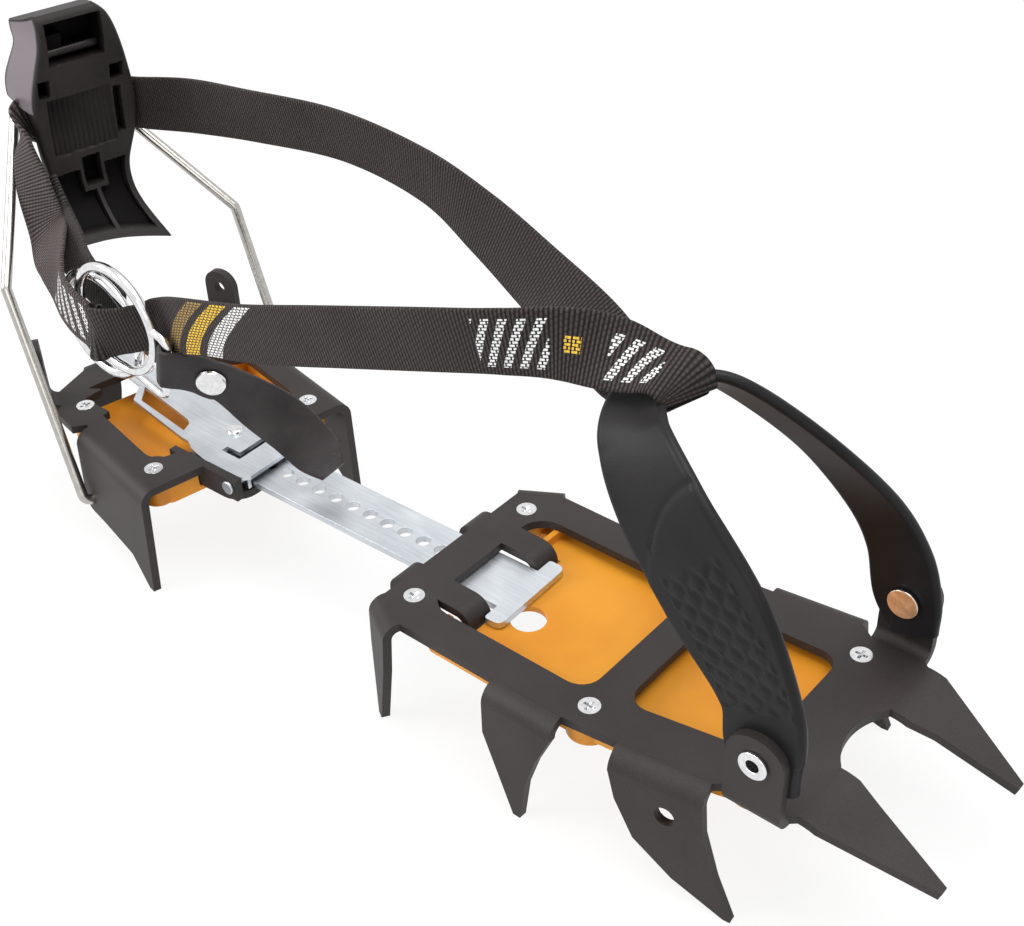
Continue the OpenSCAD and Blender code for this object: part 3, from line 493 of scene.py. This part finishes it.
# width direction and normal along a path, and the length run so far
def runFrame(line, side):
    ahead = unit(np.gradient(line, axis=0))
    s = unit(side - np.sum(side * ahead, axis=1, keepdims=True) * ahead)
    gone = np.concatenate([[0], np.cumsum(np.linalg.norm(np.diff(line, axis=0), axis=1))])
    return s, np.cross(ahead, s), gone


# closed section of a band: flat place, share of the edge rounding, share of the half thickness
def bandSection(flat, turns):
    across = np.linspace(-1, 1, flat)
    a = np.linspace(np.pi / 2, -np.pi / 2, turns + 2)[1:-1]
    place = np.concatenate([across, np.ones(turns), across[::-1], -np.ones(turns)])
    edge = np.concatenate([np.zeros(flat), np.cos(a), np.zeros(flat), -np.cos(a)])
    up = np.concatenate([np.ones(flat), np.sin(a), -np.ones(flat), -np.sin(a)])
    return place, edge, up


# grid of section points carried along the run, lift moves the faces by a height map
def bandGrid(line, side, half, spec, lift=None):
    s, n, gone = runFrame(line, side)
    place, edge, up = bandSection(spec["flat"], spec["turns"])
    thick = np.broadcast_to(spec["thick"], len(line))
    r = np.minimum(thick / 2, half * 0.9)
    a = place[None, :] * (half - r)[:, None] + edge[None, :] * r[:, None]
    b = up[None, :] * (thick / 2)[:, None]
    if lift is not None:
        b = b + lift(gone[:, None] + 0 * a, a, up[None, :] + 0 * a)
    grid = line[:, None, :] + s[:, None, :] * a[..., None] + n[:, None, :] * b[..., None]
    return grid, np.stack([gone[:, None] + 0 * a, a], axis=-1)


# a grid closed round its columns and capped at both ends, made one mesh in metres
def gridPiece(name, grid, uv, mat, sharp=50):
    rows, cols = grid.shape[:2]
    i, j = np.meshgrid(np.arange(rows - 1), np.arange(cols), indexing="ij")
    k = (j + 1) % cols
    corners = [i * cols + j, i * cols + k, (i + 1) * cols + k, (i + 1) * cols + j]
    quads = np.stack(corners, axis=-1).reshape(-1, 4)
    caps = [list(range(cols))[::-1], list(range((rows - 1) * cols, rows * cols))]
    mesh = bpy.data.meshes.new(name)
    mesh.from_pydata((grid.reshape(-1, 3) * mm).tolist(), [], quads.tolist() + caps)
    layer = mesh.uv_layers.new(name="run")
    at = np.zeros(len(mesh.loops), np.int32)
    mesh.loops.foreach_get("vertex_index", at)
    layer.data.foreach_set("uv", uv.reshape(-1, 2)[at].astype(np.float32).ravel())
    mesh.polygons.foreach_set("use_smooth", [True] * len(mesh.polygons))
    mesh.update()
    bm = bmesh.new()
    bm.from_mesh(mesh)
    bmesh.ops.recalc_face_normals(bm, faces=bm.faces)
    bm.to_mesh(mesh)
    bm.free()
    mesh.set_sharp_from_angle(angle=math.radians(sharp))
    mesh.materials.append(mat)
    return linked(name, mesh)


apex = np.array([-1.0, -4.0, 98.0])
axisZ = 98.0
webbing = {"width": 20, "thick": 1.6, "steps": 14, "flat": 13, "turns": 4}

# each strap: route, width directions, the run lengths where it is cut into pieces, and for each piece
# the two bodies that it bends between and the shares of its rows where the bend begins and ends;
# a piece with the same body twice rides on that body
farStrap = {
    "points": [
        fromHeel(-85, 4, axisZ - 1.5), fromHeel(-85, 12, axisZ - 2.4), fromHeel(-84.5, 19.6, axisZ - 2.8),
        (-256, 34.6, 96.4), (-231, 36.3, 101), (-200, 36, 105.5), (-156, 36, 110), (-115, 31.4, 109.4),
        (-84, 24.4, 104.6), (-56, 16, 99.6), apex + (-29, 11, -1.8), apex + (-12, 4, -6.3),
        apex + (-2, 1, -6.6), apex + (5.6, -0.6, -6), apex + (9, -1.2, -3.2),
    ],
    "side": [
        *[(0, 0, 1)] * 4, (0, 0.05, 1), (0, -0.1, 1), (0, -0.15, 0.98), (0, -0.04, 1), (0.1, 0.28, 0.94),
        (0.2, 0.52, 0.8), (0.2, 0.8, 0.5), (0.1, 0.95, 0.15), (0.08, 1, -0.02), (0.18, 1, -0.05),
        (0.28, 1, 0),
    ],
    "cuts": [45, 85, 215],
    "joints": [("lever", "bail"), ("bail", "heel"), ("heel", "front"), ("front", "toe_arch")],
    "spans": [(0.2, 0.8), (0.2, 0.8), (0.02, 0.98), (0.2, 0.8)],
}
nearStrap = {
    "points": [
        apex + (10.4, -1.2, -1.6), apex + (10, -1.2, 2), apex + (7, -1.8, 5), apex + (0, -3.6, 6.4),
        apex + (-10.5, -8.6, 8.6), apex + (-21, -14, 9.6), (-37, -24, 105.5), (-58.7, -28, 100),
        (-97, -30, 87.6), (-133.5, -29.6, 74.7), (-165, -28.4, 65.2), (-181, -26.6, 58.9),
        (-187, -27.6, 57), (-191.4, -30.4, 55.9),
        (-196, -34.2, 55), (-200, -37, 54.4), (-203.8, -38.4, 53.6), (-206, -38, 52.8), (-206.9, -36.6, 52.5),
    ],
    "side": [
        (0.34, 1, 0.04), (0.34, 1, 0.04), (0.3, 1, 0.06), (0.2, 0.95, 0.16), (0.22, 0.72, 0.62),
        (0.25, 0.36, 0.9), (0.3, 0.1, 1), *[(0.3, 0, 1)] * 12,
    ],
    "cuts": [58, 178],
    "joints": [("toe_arch", "front"), ("front", "heel"), ("heel", "heel")],
    "spans": [(0.2, 0.8), (0.02, 0.98), None],
}
buckleStrap = {
    "points": [
        fromHeel(-85, -8, axisZ), fromHeel(-85, -19, axisZ - 0.5), fromHeel(-81, -23, axisZ - 7),
        fromHeel(-75, -24.8, axisZ - 18), fromHeel(-67.5, -26, axisZ - 32), (-245.5, -23.6, 62.5),
        (-236.5, -29, 59.4), (-229, -33.2, 56.6), (-221, -35.4, 54.6), (-214, -35.6, 52.6),
        (-207, -35.2, 50.6),
    ],
    "side": [
        (0, 0, 1), (0, 0, 1), (0.75, -0.1, 0.6), (0.9, 0.12, 0.4), (0.85, 0.25, 0.5), (0.7, 0.2, 0.7),
        (0.5, 0.05, 0.87), (0.35, 0, 0.94), *[(0.3, 0, 0.95)] * 3,
    ],
    "cuts": [40, 91],
    "joints": [("lever", "bail"), ("bail", "heel"), ("heel", "ring_out")],
    "spans": [(0.2, 0.8), (0.05, 0.45), (0.05, 0.3)],
}
# inner layer of the sewn loop behind the front ring
loopStrap = {
    "points": [
        fromHeel(-75.5, -22.2, 79), fromHeel(-71, -22.5, 73.5), fromHeel(-64.5, -23, 67), (-240, -18.4, 63.4),
        (-231, -21.4, 60.6), (-222, -23.4, 58), (-214, -24.4, 55.8), (-206.5, -25.2, 53.4),
    ],
    "side": [
        (0.88, 0.2, 0.45), (0.85, 0.2, 0.5), (0.75, 0.2, 0.65), (0.6, 0.15, 0.8), (0.4, 0.05, 0.9),
        *[(0.3, 0, 0.95)] * 3,
    ],
    "cuts": [36],
    "joints": [("bail", "heel"), ("heel", "ring_in")],
    "spans": [(0.05, 0.8), (0.02, 0.25)],
}


# a strap cut at run lengths into its pieces, and each piece tied to its bodies
def strapPieces(name, spec, mat):
    line, side = (smoothLine(spec[key], webbing["steps"]) for key in ("points", "side"))
    grid, uv = bandGrid(line, side, np.full(len(line), webbing["width"] / 2), webbing)
    gone = uv[:, 0, 0]
    rows = [0] + [int(np.argmin(abs(gone - cut))) for cut in spec["cuts"]] + [len(gone) - 1]
    made = []
    for i, (a, b) in enumerate(spec["joints"]):
        part = slice(rows[i], rows[i + 1] + 1)
        piece = gridPiece(f"{name}{i + 1}", grid[part], uv[part], mat)
        if a == b:
            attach(piece, a)
        else:
            mid = grid[part].mean(axis=1) * mm
            start, end = (tuple(mid[int(len(mid) * share)]) for share in spec["spans"][i])
            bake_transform(piece, a, b, start=start, end=end)
        made.append(piece)
    return made


white, yellow, tan = tone(0.80, 0.80, 0.80), tone(0.78, 0.50, 0.05), tone(0.34, 0.22, 0.07)
whiteBars = {"slant": 0.45, "pitch": 5.0, "share": 0.5, "tone": white}
bowedBar = {"from": 144, "to": 221, "reach": 9.3, "bow": 26, "pitch": 8.6, "share": 1}
plainWeave = wovenStrap("plainWeave", [])
nearWeave = wovenStrap("nearWeave", [
    {"from": 11.5, "to": 26, "reach": 6.3, "mid": -1, **whiteBars},
    {"from": 33.3, "to": 37.7, "reach": 2.4, "mid": 0.3, "slant": 0, "pitch": 9, "share": 0.95,
     "tone": yellow},
    {"from": 41.5, "to": 62.5, "reach": 7.2, **whiteBars},
    {"start": 176.1, "tone": white, **bowedBar},
    {"start": 189.1, "tone": yellow, **bowedBar},
    {"start": 202.1, "tone": tan, **bowedBar},
])
# the buckle strap's weave is painted 1.9 times lighter, as painted light on its lit outer layer
buckleWeave = wovenStrap("buckleWeave", [{"from": 79, "to": 102, "reach": 7.2, **whiteBars}], paintedLightShare=1.9)

farPieces = strapPieces("strapFar", farStrap, plainWeave)
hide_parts("ankle_strap_far")
nearPieces = strapPieces("strapNear", nearStrap, nearWeave)
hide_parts("ankle_strap_near")
bucklePieces = strapPieces("strapBuckle", buckleStrap, buckleWeave)
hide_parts("buckle_strap")
loopPieces = strapPieces("strapLoop", loopStrap, plainWeave)
print("straps woven:", len(farPieces + nearPieces + bucklePieces + loopPieces), "pieces")


# path, width directions and widths of a shaped band
def bandRun(points, side, spec):
    line, turned, widths = (smoothLine(given, spec["steps"]) for given in (points, side, spec["widths"]))
    return line, turned, widths[:, 0]


toeArch = {
    "rivetX": 56.5, "rivetZ": 19, "back": 57.5, "rise": 79, "mid": 6, "halfSpan": 38.45,
    "thick": 3.4, "steps": 30, "flat": 61, "turns": 5,
    "widths": [16, 24, 26, 34, 31, 22, 16, 15, 15, 16, 18, 20, 21, 22, 15],
    "side": [
        (0.9, 0, 0.3), (0.9, 0, 0.2), (0.95, 0, 0.2), (0.85, 0, 0.5), (0.85, 0, 0.5), (0.9, 0, 0.3),
        (0.98, 0, 0.1), (0.98, 0, 0.1), (0.95, -0.1, 0.2), (0.85, -0.25, 0.4), (0.8, -0.3, 0.45),
        (0.85, -0.15, 0.45), (0.95, 0, 0.2), (0.9, 0, 0.2), (0.9, 0, 0.3),
    ],
}
# lengths from the arch's near end, places across it and heights in millimetres, bow per millimetre,
# lozenge and slope in shares of a cell
toeMarks = {
    "panelEnd": 87.5, "bow": 0.022, "bowMid": 12, "soft": 0.22, "panelDrop": 0.30,
    "grooveAt": 0.4, "grooveWide": 0.75, "grooveFrom": -9, "grooveDeep": 0.45,
    "fieldFrom": 27, "fieldTo": 69, "fieldHalf": 11, "cellLong": 7, "cellWide": 8,
    "lozenge": 0.36, "slope": 0.07, "lozengeHigh": 0.42,
}


def toeArchPoints(s):
    x, z, b, h, m = s["rivetX"], s["rivetZ"], s["back"], s["rise"], s["mid"]
    n, f = m - s["halfSpan"], m + s["halfSpan"]
    return [
        (x + 4, n, z - 11), (x, n, z), (x - 0.04 * b, n, z + 0.21 * h), (x - 0.29 * b, n - 0.5, z + 0.52 * h),
        (x - 0.63 * b, n + 2, z + 0.785 * h), (x - 0.88 * b, n + 9.5, z + 0.925 * h),
        (x - b, m - 18, z + 0.98 * h), (x - b, m - 8, z + h), (x - 0.88 * b, m, z + 0.99 * h),
        (x - 0.69 * b, m + 7, z + 0.92 * h), (x - 0.41 * b, m + 19, z + 0.71 * h),
        (x - 0.2 * b, f - 7, z + 0.44 * h), (x - 0.08 * b, f - 0.5, z + 0.21 * h), (x, f, z),
        (x + 4, f, z - 11),
    ]


# outer face: a step bowed across the arch where the lower panel ends,
# and raised lozenges in rows on the panel
def toeRelief(gone, a, up):
    k = toeMarks
    edge = k["panelEnd"] - k["bow"] * (a - k["bowMid"]) ** 2
    panel = 1 / (1 + np.exp(np.clip((gone - edge) / k["soft"], -40, 40)))
    groove = np.exp(-((gone - edge - k["grooveAt"]) / k["grooveWide"]) ** 2) * (a > k["grooveFrom"])
    field = (np.abs(a) < k["fieldHalf"]) * (gone > k["fieldFrom"]) * (gone < k["fieldTo"])
    along, over = (gone - k["fieldFrom"]) / k["cellLong"], a / k["cellWide"]
    cell = np.maximum(np.abs((along + over) % 1 - 0.5), np.abs((along - over) % 1 - 0.5))
    raised = np.clip((k["lozenge"] - cell) / k["slope"], 0, 1) * field
    height = -k["panelDrop"] * panel + k["grooveDeep"] * groove - k["lozengeHigh"] * raised
    return np.where(up < -0.5, height, 0)


line, side, width = bandRun(toeArchPoints(toeArch), toeArch["side"], toeArch)
grid, uv = bandGrid(line, side, width / 2, toeArch, lift=toeRelief)
toePiece = gridPiece("toeArchRubber", grid, uv, rubber)
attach(toePiece, "toe_arch")
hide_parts("toe_strap")
print("toe arch shaped")

pullTab = {
    "at": np.array([-168, -21.9, 40.4]), "n": np.array([-0.638, 0.756, 0.153]),
    "bar": np.array([0.233, 0, 0.972]), "loop": np.array([-178.3, -31.4, 44.6]),
    "r": 2.8, "up": 3, "hook": range(60, 261, 40), "thick": 1.8, "steps": 12, "flat": 15, "turns": 4,
    "lie": [(-9, -0.8, 3), (-4.5, 0, 1.8), (0, 0, 0), (4.5, 0, -1.2)],
    "tip": [(-157.7, -13.6, 31.2), (-150.3, -6.4, 20.5), (-143, -1.7, 9.5), (-136.2, -1.3, 4.5)],
    "tipSide": [(0.15, 0.3, 0.93), (-0.1, 0.55, 0.83), (0, 0.75, 0.66), (0, 0.9, 0.4)],
    "widths": [15, 15, 15, 15, 15, 15, 15.5, 16.5, 17, 17.5, 18, 18.5, 17, 10],
}


# the tab hooks round the ring's flattened loop, lies flat under its rivet and curls down to its tip;
# the places where it lies flat are steps along it, off its face and along the ring's bar
def pullTabPoints(s):
    at, n, bar = s["at"], s["n"], s["bar"]
    g = np.cross(n, bar)
    angles = np.radians(s["hook"])
    loop = s["loop"] + s["up"] * bar
    hook = [loop + s["r"] * (math.cos(a) * g + math.sin(a) * n) for a in angles]
    flat = [at + a * g + b * n + c * bar for a, b, c in s["lie"]]
    return hook + flat + s["tip"], [bar] * len(hook + flat) + s["tipSide"]


line, side, width = bandRun(*pullTabPoints(pullTab), pullTab)
grid, uv = bandGrid(line, side, width / 2, pullTab)
tabPiece = gridPiece("pullTabLeather", grid, uv, leather)
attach(tabPiece, "tab")
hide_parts("pull_tab")
print("pull tab cut")

# lever: heights are from its hinge line; left, right, flare, front and back are outlines over height
leverShape = {
    "top": 41.5, "roofFall": 3.6, "bottomLeft": -41.6, "bottomRight": -46.2, "round": 1.5, "thin": 1.6,
    "rows": 250, "face": 151, "wall": 12, "rear": 41, "paintedLitWallFrom": 6, "sharp": 38,
    "cornerFrom": 0.62, "cornerSoft": 0.2, "cornerThick": 5.5, "cornerBack": -80,
    "cutTop": 9, "cutTopSoft": 3, "cutFoot": -30, "cutFootSoft": 8,
    "left": [
        (-46.5, 17.5), (-41, 16.6), (-36, 15.4), (-30, 15.2), (-22, 16.4), (-12, 18), (-3, 18.5),
        (10.8, 18.4), (22, 16.4), (30, 14.6), (36, 14), (41.5, 13.8),
    ],
    "right": [
        (-46.5, 16.6), (-41, 15.2), (-36, 14.2), (-30, 13.8), (-22, 14.8), (-10.5, 18.4), (-3, 20),
        (4.7, 20.3), (17.8, 18), (30, 14.8), (36.3, 12.6), (39.3, 10.6), (41.5, 8.2),
    ],
    "flare": [(-46.5, 0), (0, 0), (8, 1.6), (18, 2.2), (28, 0.8), (34, 2.2), (41.5, 4)],
    "front": [
        (-46.5, -56.5), (-44, -60), (-41, -64.6), (-36, -71), (-30, -75.6), (-22, -77.6), (-10, -76.2),
        (2, -75), (14, -72.5), (28, -68.5), (36, -67.4), (39.5, -67.8), (41.5, -69.4),
    ],
    "back": [
        (-46.8, -59.5), (-41.5, -70), (-32, -82), (-21, -89.2), (-6, -94.2), (12, -93.6), (22, -91),
        (36, -86), (41.5, -80),
    ],
}
# recesses of the lever's face: each window is from and to across, then from and to in height
leverFace = {
    "soft": 0.4,
    "hood": (-11.3, 9, 23.6, 38.4), "hoodDeep": 11, "hoodStep": (-10.6, -3.6, 25.4, 33), "stepHigh": 5.5,
    "holes": [(-16.2, -12.4, 12.2, 18.2), (11, 15.6, 12.4, 17.6)], "holeDeep": 6,
    "panel": (-13.6, 10.4, -12, 10), "panelDeep": 0.6, "panelSlope": 1.9, "panelRun": 22,
    "panelFoot": -14, "panelRise": 20, "panelLeast": 0.4, "ribHigh": 0.16, "ribPitch": 1.9,
    "slot": (11.6, 14.2, -9, 8.6), "slotDeep": 3.2, "window": (-3.8, 2.6, -26, -15), "windowDeep": 6,
    "pocketDeep": 3.4, "pocketTop": -19.5, "wallLeft": 2.8, "footLeft": 2.6, "midRib": (-0.3, 1.0),
    "windowFrame": (-0.6, 5), "frameFoot": -28.2,
}


def overHeight(table, z):
    fine = smoothLine(table, 8)
    return np.interp(z, fine[:, 0], fine[:, 1])


# 1 inside an edge distance, 0 outside it, over a soft border
def softStep(distance):
    return np.clip(distance / leverFace["soft"] + 0.5, 0, 1)


def within(v, z, box):
    v0, v1, z0, z1 = box
    return softStep(np.minimum(np.minimum(v - v0, v1 - v), np.minimum(z - z0, z1 - z)))


# depth of the moulded recesses in the lever's face: hood, strap holes, ribbed panel, slot, window
# and foot pockets
def leverRelief(v, z, w, low):
    k = leverFace
    hood = within(v, z, k["hood"]) * (k["hoodDeep"] - k["stepHigh"] * within(v, z, k["hoodStep"]))
    holes = k["holeDeep"] * sum(within(v, z, box) for box in k["holes"])
    ribs = k["ribHigh"] * np.cos(2 * np.pi * v / k["ribPitch"])
    aside = np.clip((k["panel"][1] - v) / k["panelRun"], 0, 1)
    upward = np.clip((z - k["panelFoot"]) / k["panelRise"], k["panelLeast"], 1)
    panel = within(v, z, k["panel"]) * (k["panelDeep"] + k["panelSlope"] * aside * upward + ribs)
    slot = k["slotDeep"] * within(v, z, k["slot"])
    window = k["windowDeep"] * within(v, z, k["window"])
    ribAt, ribHalf = k["midRib"]
    frameAt, frameHalf = k["windowFrame"]
    sides = np.minimum(w - k["wallLeft"] - np.abs(v), np.abs(v - ribAt) - ribHalf)
    ends = np.minimum(z - low - k["footLeft"], k["pocketTop"] - z)
    clear = np.maximum(np.abs(v - frameAt) - frameHalf, k["frameFoot"] - z)
    pockets = k["pocketDeep"] * softStep(np.minimum(np.minimum(sides, ends), clear))
    return hood + holes + panel + slot + window + pockets


def leverGrid(s):
    r = s["round"]
    run = np.linspace(0, 1, s["wall"] + 2)[1:-1]
    face, rear = np.linspace(-1, 1, s["face"]), np.linspace(1, -1, s["rear"])
    wallSide = np.ones(s["wall"])
    place = np.concatenate([face, wallSide, rear, -wallSide])[None, :]
    deep = np.concatenate([np.zeros(s["face"]), run, np.ones(s["rear"]), run[::-1]])[None, :]
    low = s["bottomLeft"] + (s["bottomRight"] - s["bottomLeft"]) * ((place + 1) / 2) ** 2
    t = np.linspace(0, 1, s["rows"])[:, None]
    top = s["top"] - s["roofFall"] * deep
    z = top + (low - top) * t
    w = np.where(place < 0, overHeight(s["left"], z), overHeight(s["right"], z))
    w = w + np.where(place < 0, overHeight(s["flare"], z), 0) * deep
    v = place * w
    front, back = overHeight(s["front"], z), overHeight(s["back"], z)
    # below the hood the rear corners are cut back, where the strap comes out
    corner = np.clip((np.abs(place) - s["cornerFrom"]) / s["cornerSoft"], 0, 1)
    below = np.clip((s["cutTop"] - z) / s["cutTopSoft"], 0, 1)
    cut = corner * below * np.clip((z - s["cutFoot"]) / s["cutFootSoft"], 0, 1)
    shallow = np.minimum(front - s["cornerThick"], s["cornerBack"])
    back = back + (shallow - back) * cut * (shallow > back)
    fall = r - np.sqrt(np.maximum(r * r - np.maximum(np.abs(v) - (w - r), 0) ** 2, 0))
    dip = np.minimum(leverRelief(v, z, w, low), np.maximum(front - back - s["thin"], 0))
    between = front - r + (back - front + 2 * r) * deep
    u = np.where(deep == 0, front - fall - dip, np.where(deep == 1, back + fall, between))
    # v marks the upper side walls, painted lighter as painted light; u carries the recess depth that is
    # painted as shade
    wall = (np.abs(place) == 1) & (deep > 0) & (deep < 1) & (z > s["paintedLitWallFrom"]) & (t > 0.01)
    uv = np.stack([np.where(deep == 0, dip, 0), wall + 0 * v], axis=-1)
    return np.stack(fromHeel(u, v, z + axisZ), axis=-1), uv


grid, uv = leverGrid(leverShape)
leverPiece = gridPiece("leverBody", grid, uv, plastic, leverShape["sharp"])
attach(leverPiece, "lever")


# of the CAD lever only the hinge barrel and its neck stay, behind the moulded body
def keepBehind(piece, u, reach):
    c, s = heelPlace["cos"], heelPlace["sin"]
    planes = [
        (fromHeel(u, 0, axisZ), (c, -s, 0)),
        (fromHeel(0, reach, 0), (s, c, 0)),
        (fromHeel(0, -reach, 0), (-s, -c, 0)),
    ]
    bm = bmesh.new()
    bm.from_mesh(piece.data)
    for at, way in planes:
        every = bm.verts[:] + bm.edges[:] + bm.faces[:]
        at = tuple(x * mm for x in at)
        bmesh.ops.bisect_plane(bm, geom=every, plane_co=at, plane_no=way, clear_outer=True)
        bmesh.ops.holes_fill(bm, edges=[e for e in bm.edges if e.is_boundary])
    bm.to_mesh(piece.data)
    bm.free()


keepBehind(dressed["heel_lever"], u=-92.6, reach=9.15)
print("lever moulded")

# studio: pale floor, white round, three soft lamps given by name, place, aim, size and power
studio = {
    "floorZ": -0.0442, "floorSize": 6.0, "floorTone": tone(0.92, 0.92, 0.92), "shadowShare": 0.13,
    "white": tone(1, 1, 1), "roundLight": 0.34,
    "lamps": [
        ("top", (0.12, 0.05, 1.2), (-0.08, 0.0, 0.0), 1.2, 17),
        ("left", (-1.0, -0.8, 0.7), (-0.15, 0, 0.02), 0.9, 13),
        ("front", (0.7, -1.0, 0.5), (-0.05, 0, 0.02), 0.8, 2.5),
    ],
}


def seenDirect(tree):
    path = put(tree, "ShaderNodeLightPath").outputs
    direct = calc(tree, "MAXIMUM", path["Is Camera Ray"], path["Is Glossy Ray"])
    return calc(tree, "MAXIMUM", direct, path["Is Transmission Ray"])


def mixShader(tree, share, a, b):
    return put(tree, "ShaderNodeMixShader", {0: share, 1: a, 2: b}).outputs[0]


def makeFloor(s):
    mat = bpy.data.materials.new("paleFloor")
    mat.use_nodes = True
    tree = mat.node_tree
    tree.nodes.clear()
    plain = put(tree, "ShaderNodeBsdfDiffuse", {"Color": s["floorTone"]}).outputs[0]
    glow = put(tree, "ShaderNodeEmission", {"Color": s["white"], "Strength": 1.0}).outputs[0]
    veil = mixShader(tree, s["shadowShare"], glow, plain)
    put(tree, "ShaderNodeOutputMaterial", {0: mixShader(tree, seenDirect(tree), plain, veil)})
    r, z = s["floorSize"] / 2, s["floorZ"]
    mesh = bpy.data.meshes.new("floor")
    mesh.from_pydata([(-r, -r, z), (r, -r, z), (r, r, z), (-r, r, z)], [], [(0, 1, 2, 3)])
    mesh.materials.append(mat)
    linked("floor", mesh)


def makeRound(s):
    world = bpy.data.worlds.new("softRound")
    bpy.context.scene.world = world
    world.use_nodes = True
    tree = world.node_tree
    tree.nodes.clear()
    dim = put(tree, "ShaderNodeBackground", {"Color": s["white"], "Strength": s["roundLight"]}).outputs[0]
    full = put(tree, "ShaderNodeBackground", {"Color": s["white"], "Strength": 1.0}).outputs[0]
    put(tree, "ShaderNodeOutputWorld", {0: mixShader(tree, seenDirect(tree), dim, full)})


def makeLamp(name, at, aim, size, power):
    data = bpy.data.lights.new(name, "AREA")
    data.shape, data.size, data.energy = "DISK", size, power
    back = unit(np.array(at) - np.array(aim))
    right = unit(np.cross((0, 0, 1.0), back))
    linked(name, data).matrix_world = placed(right, np.cross(back, right), back, at)


makeFloor(studio)
makeRound(studio)
for lamp in studio["lamps"]:
    makeLamp(*lamp)
print("studio lit")
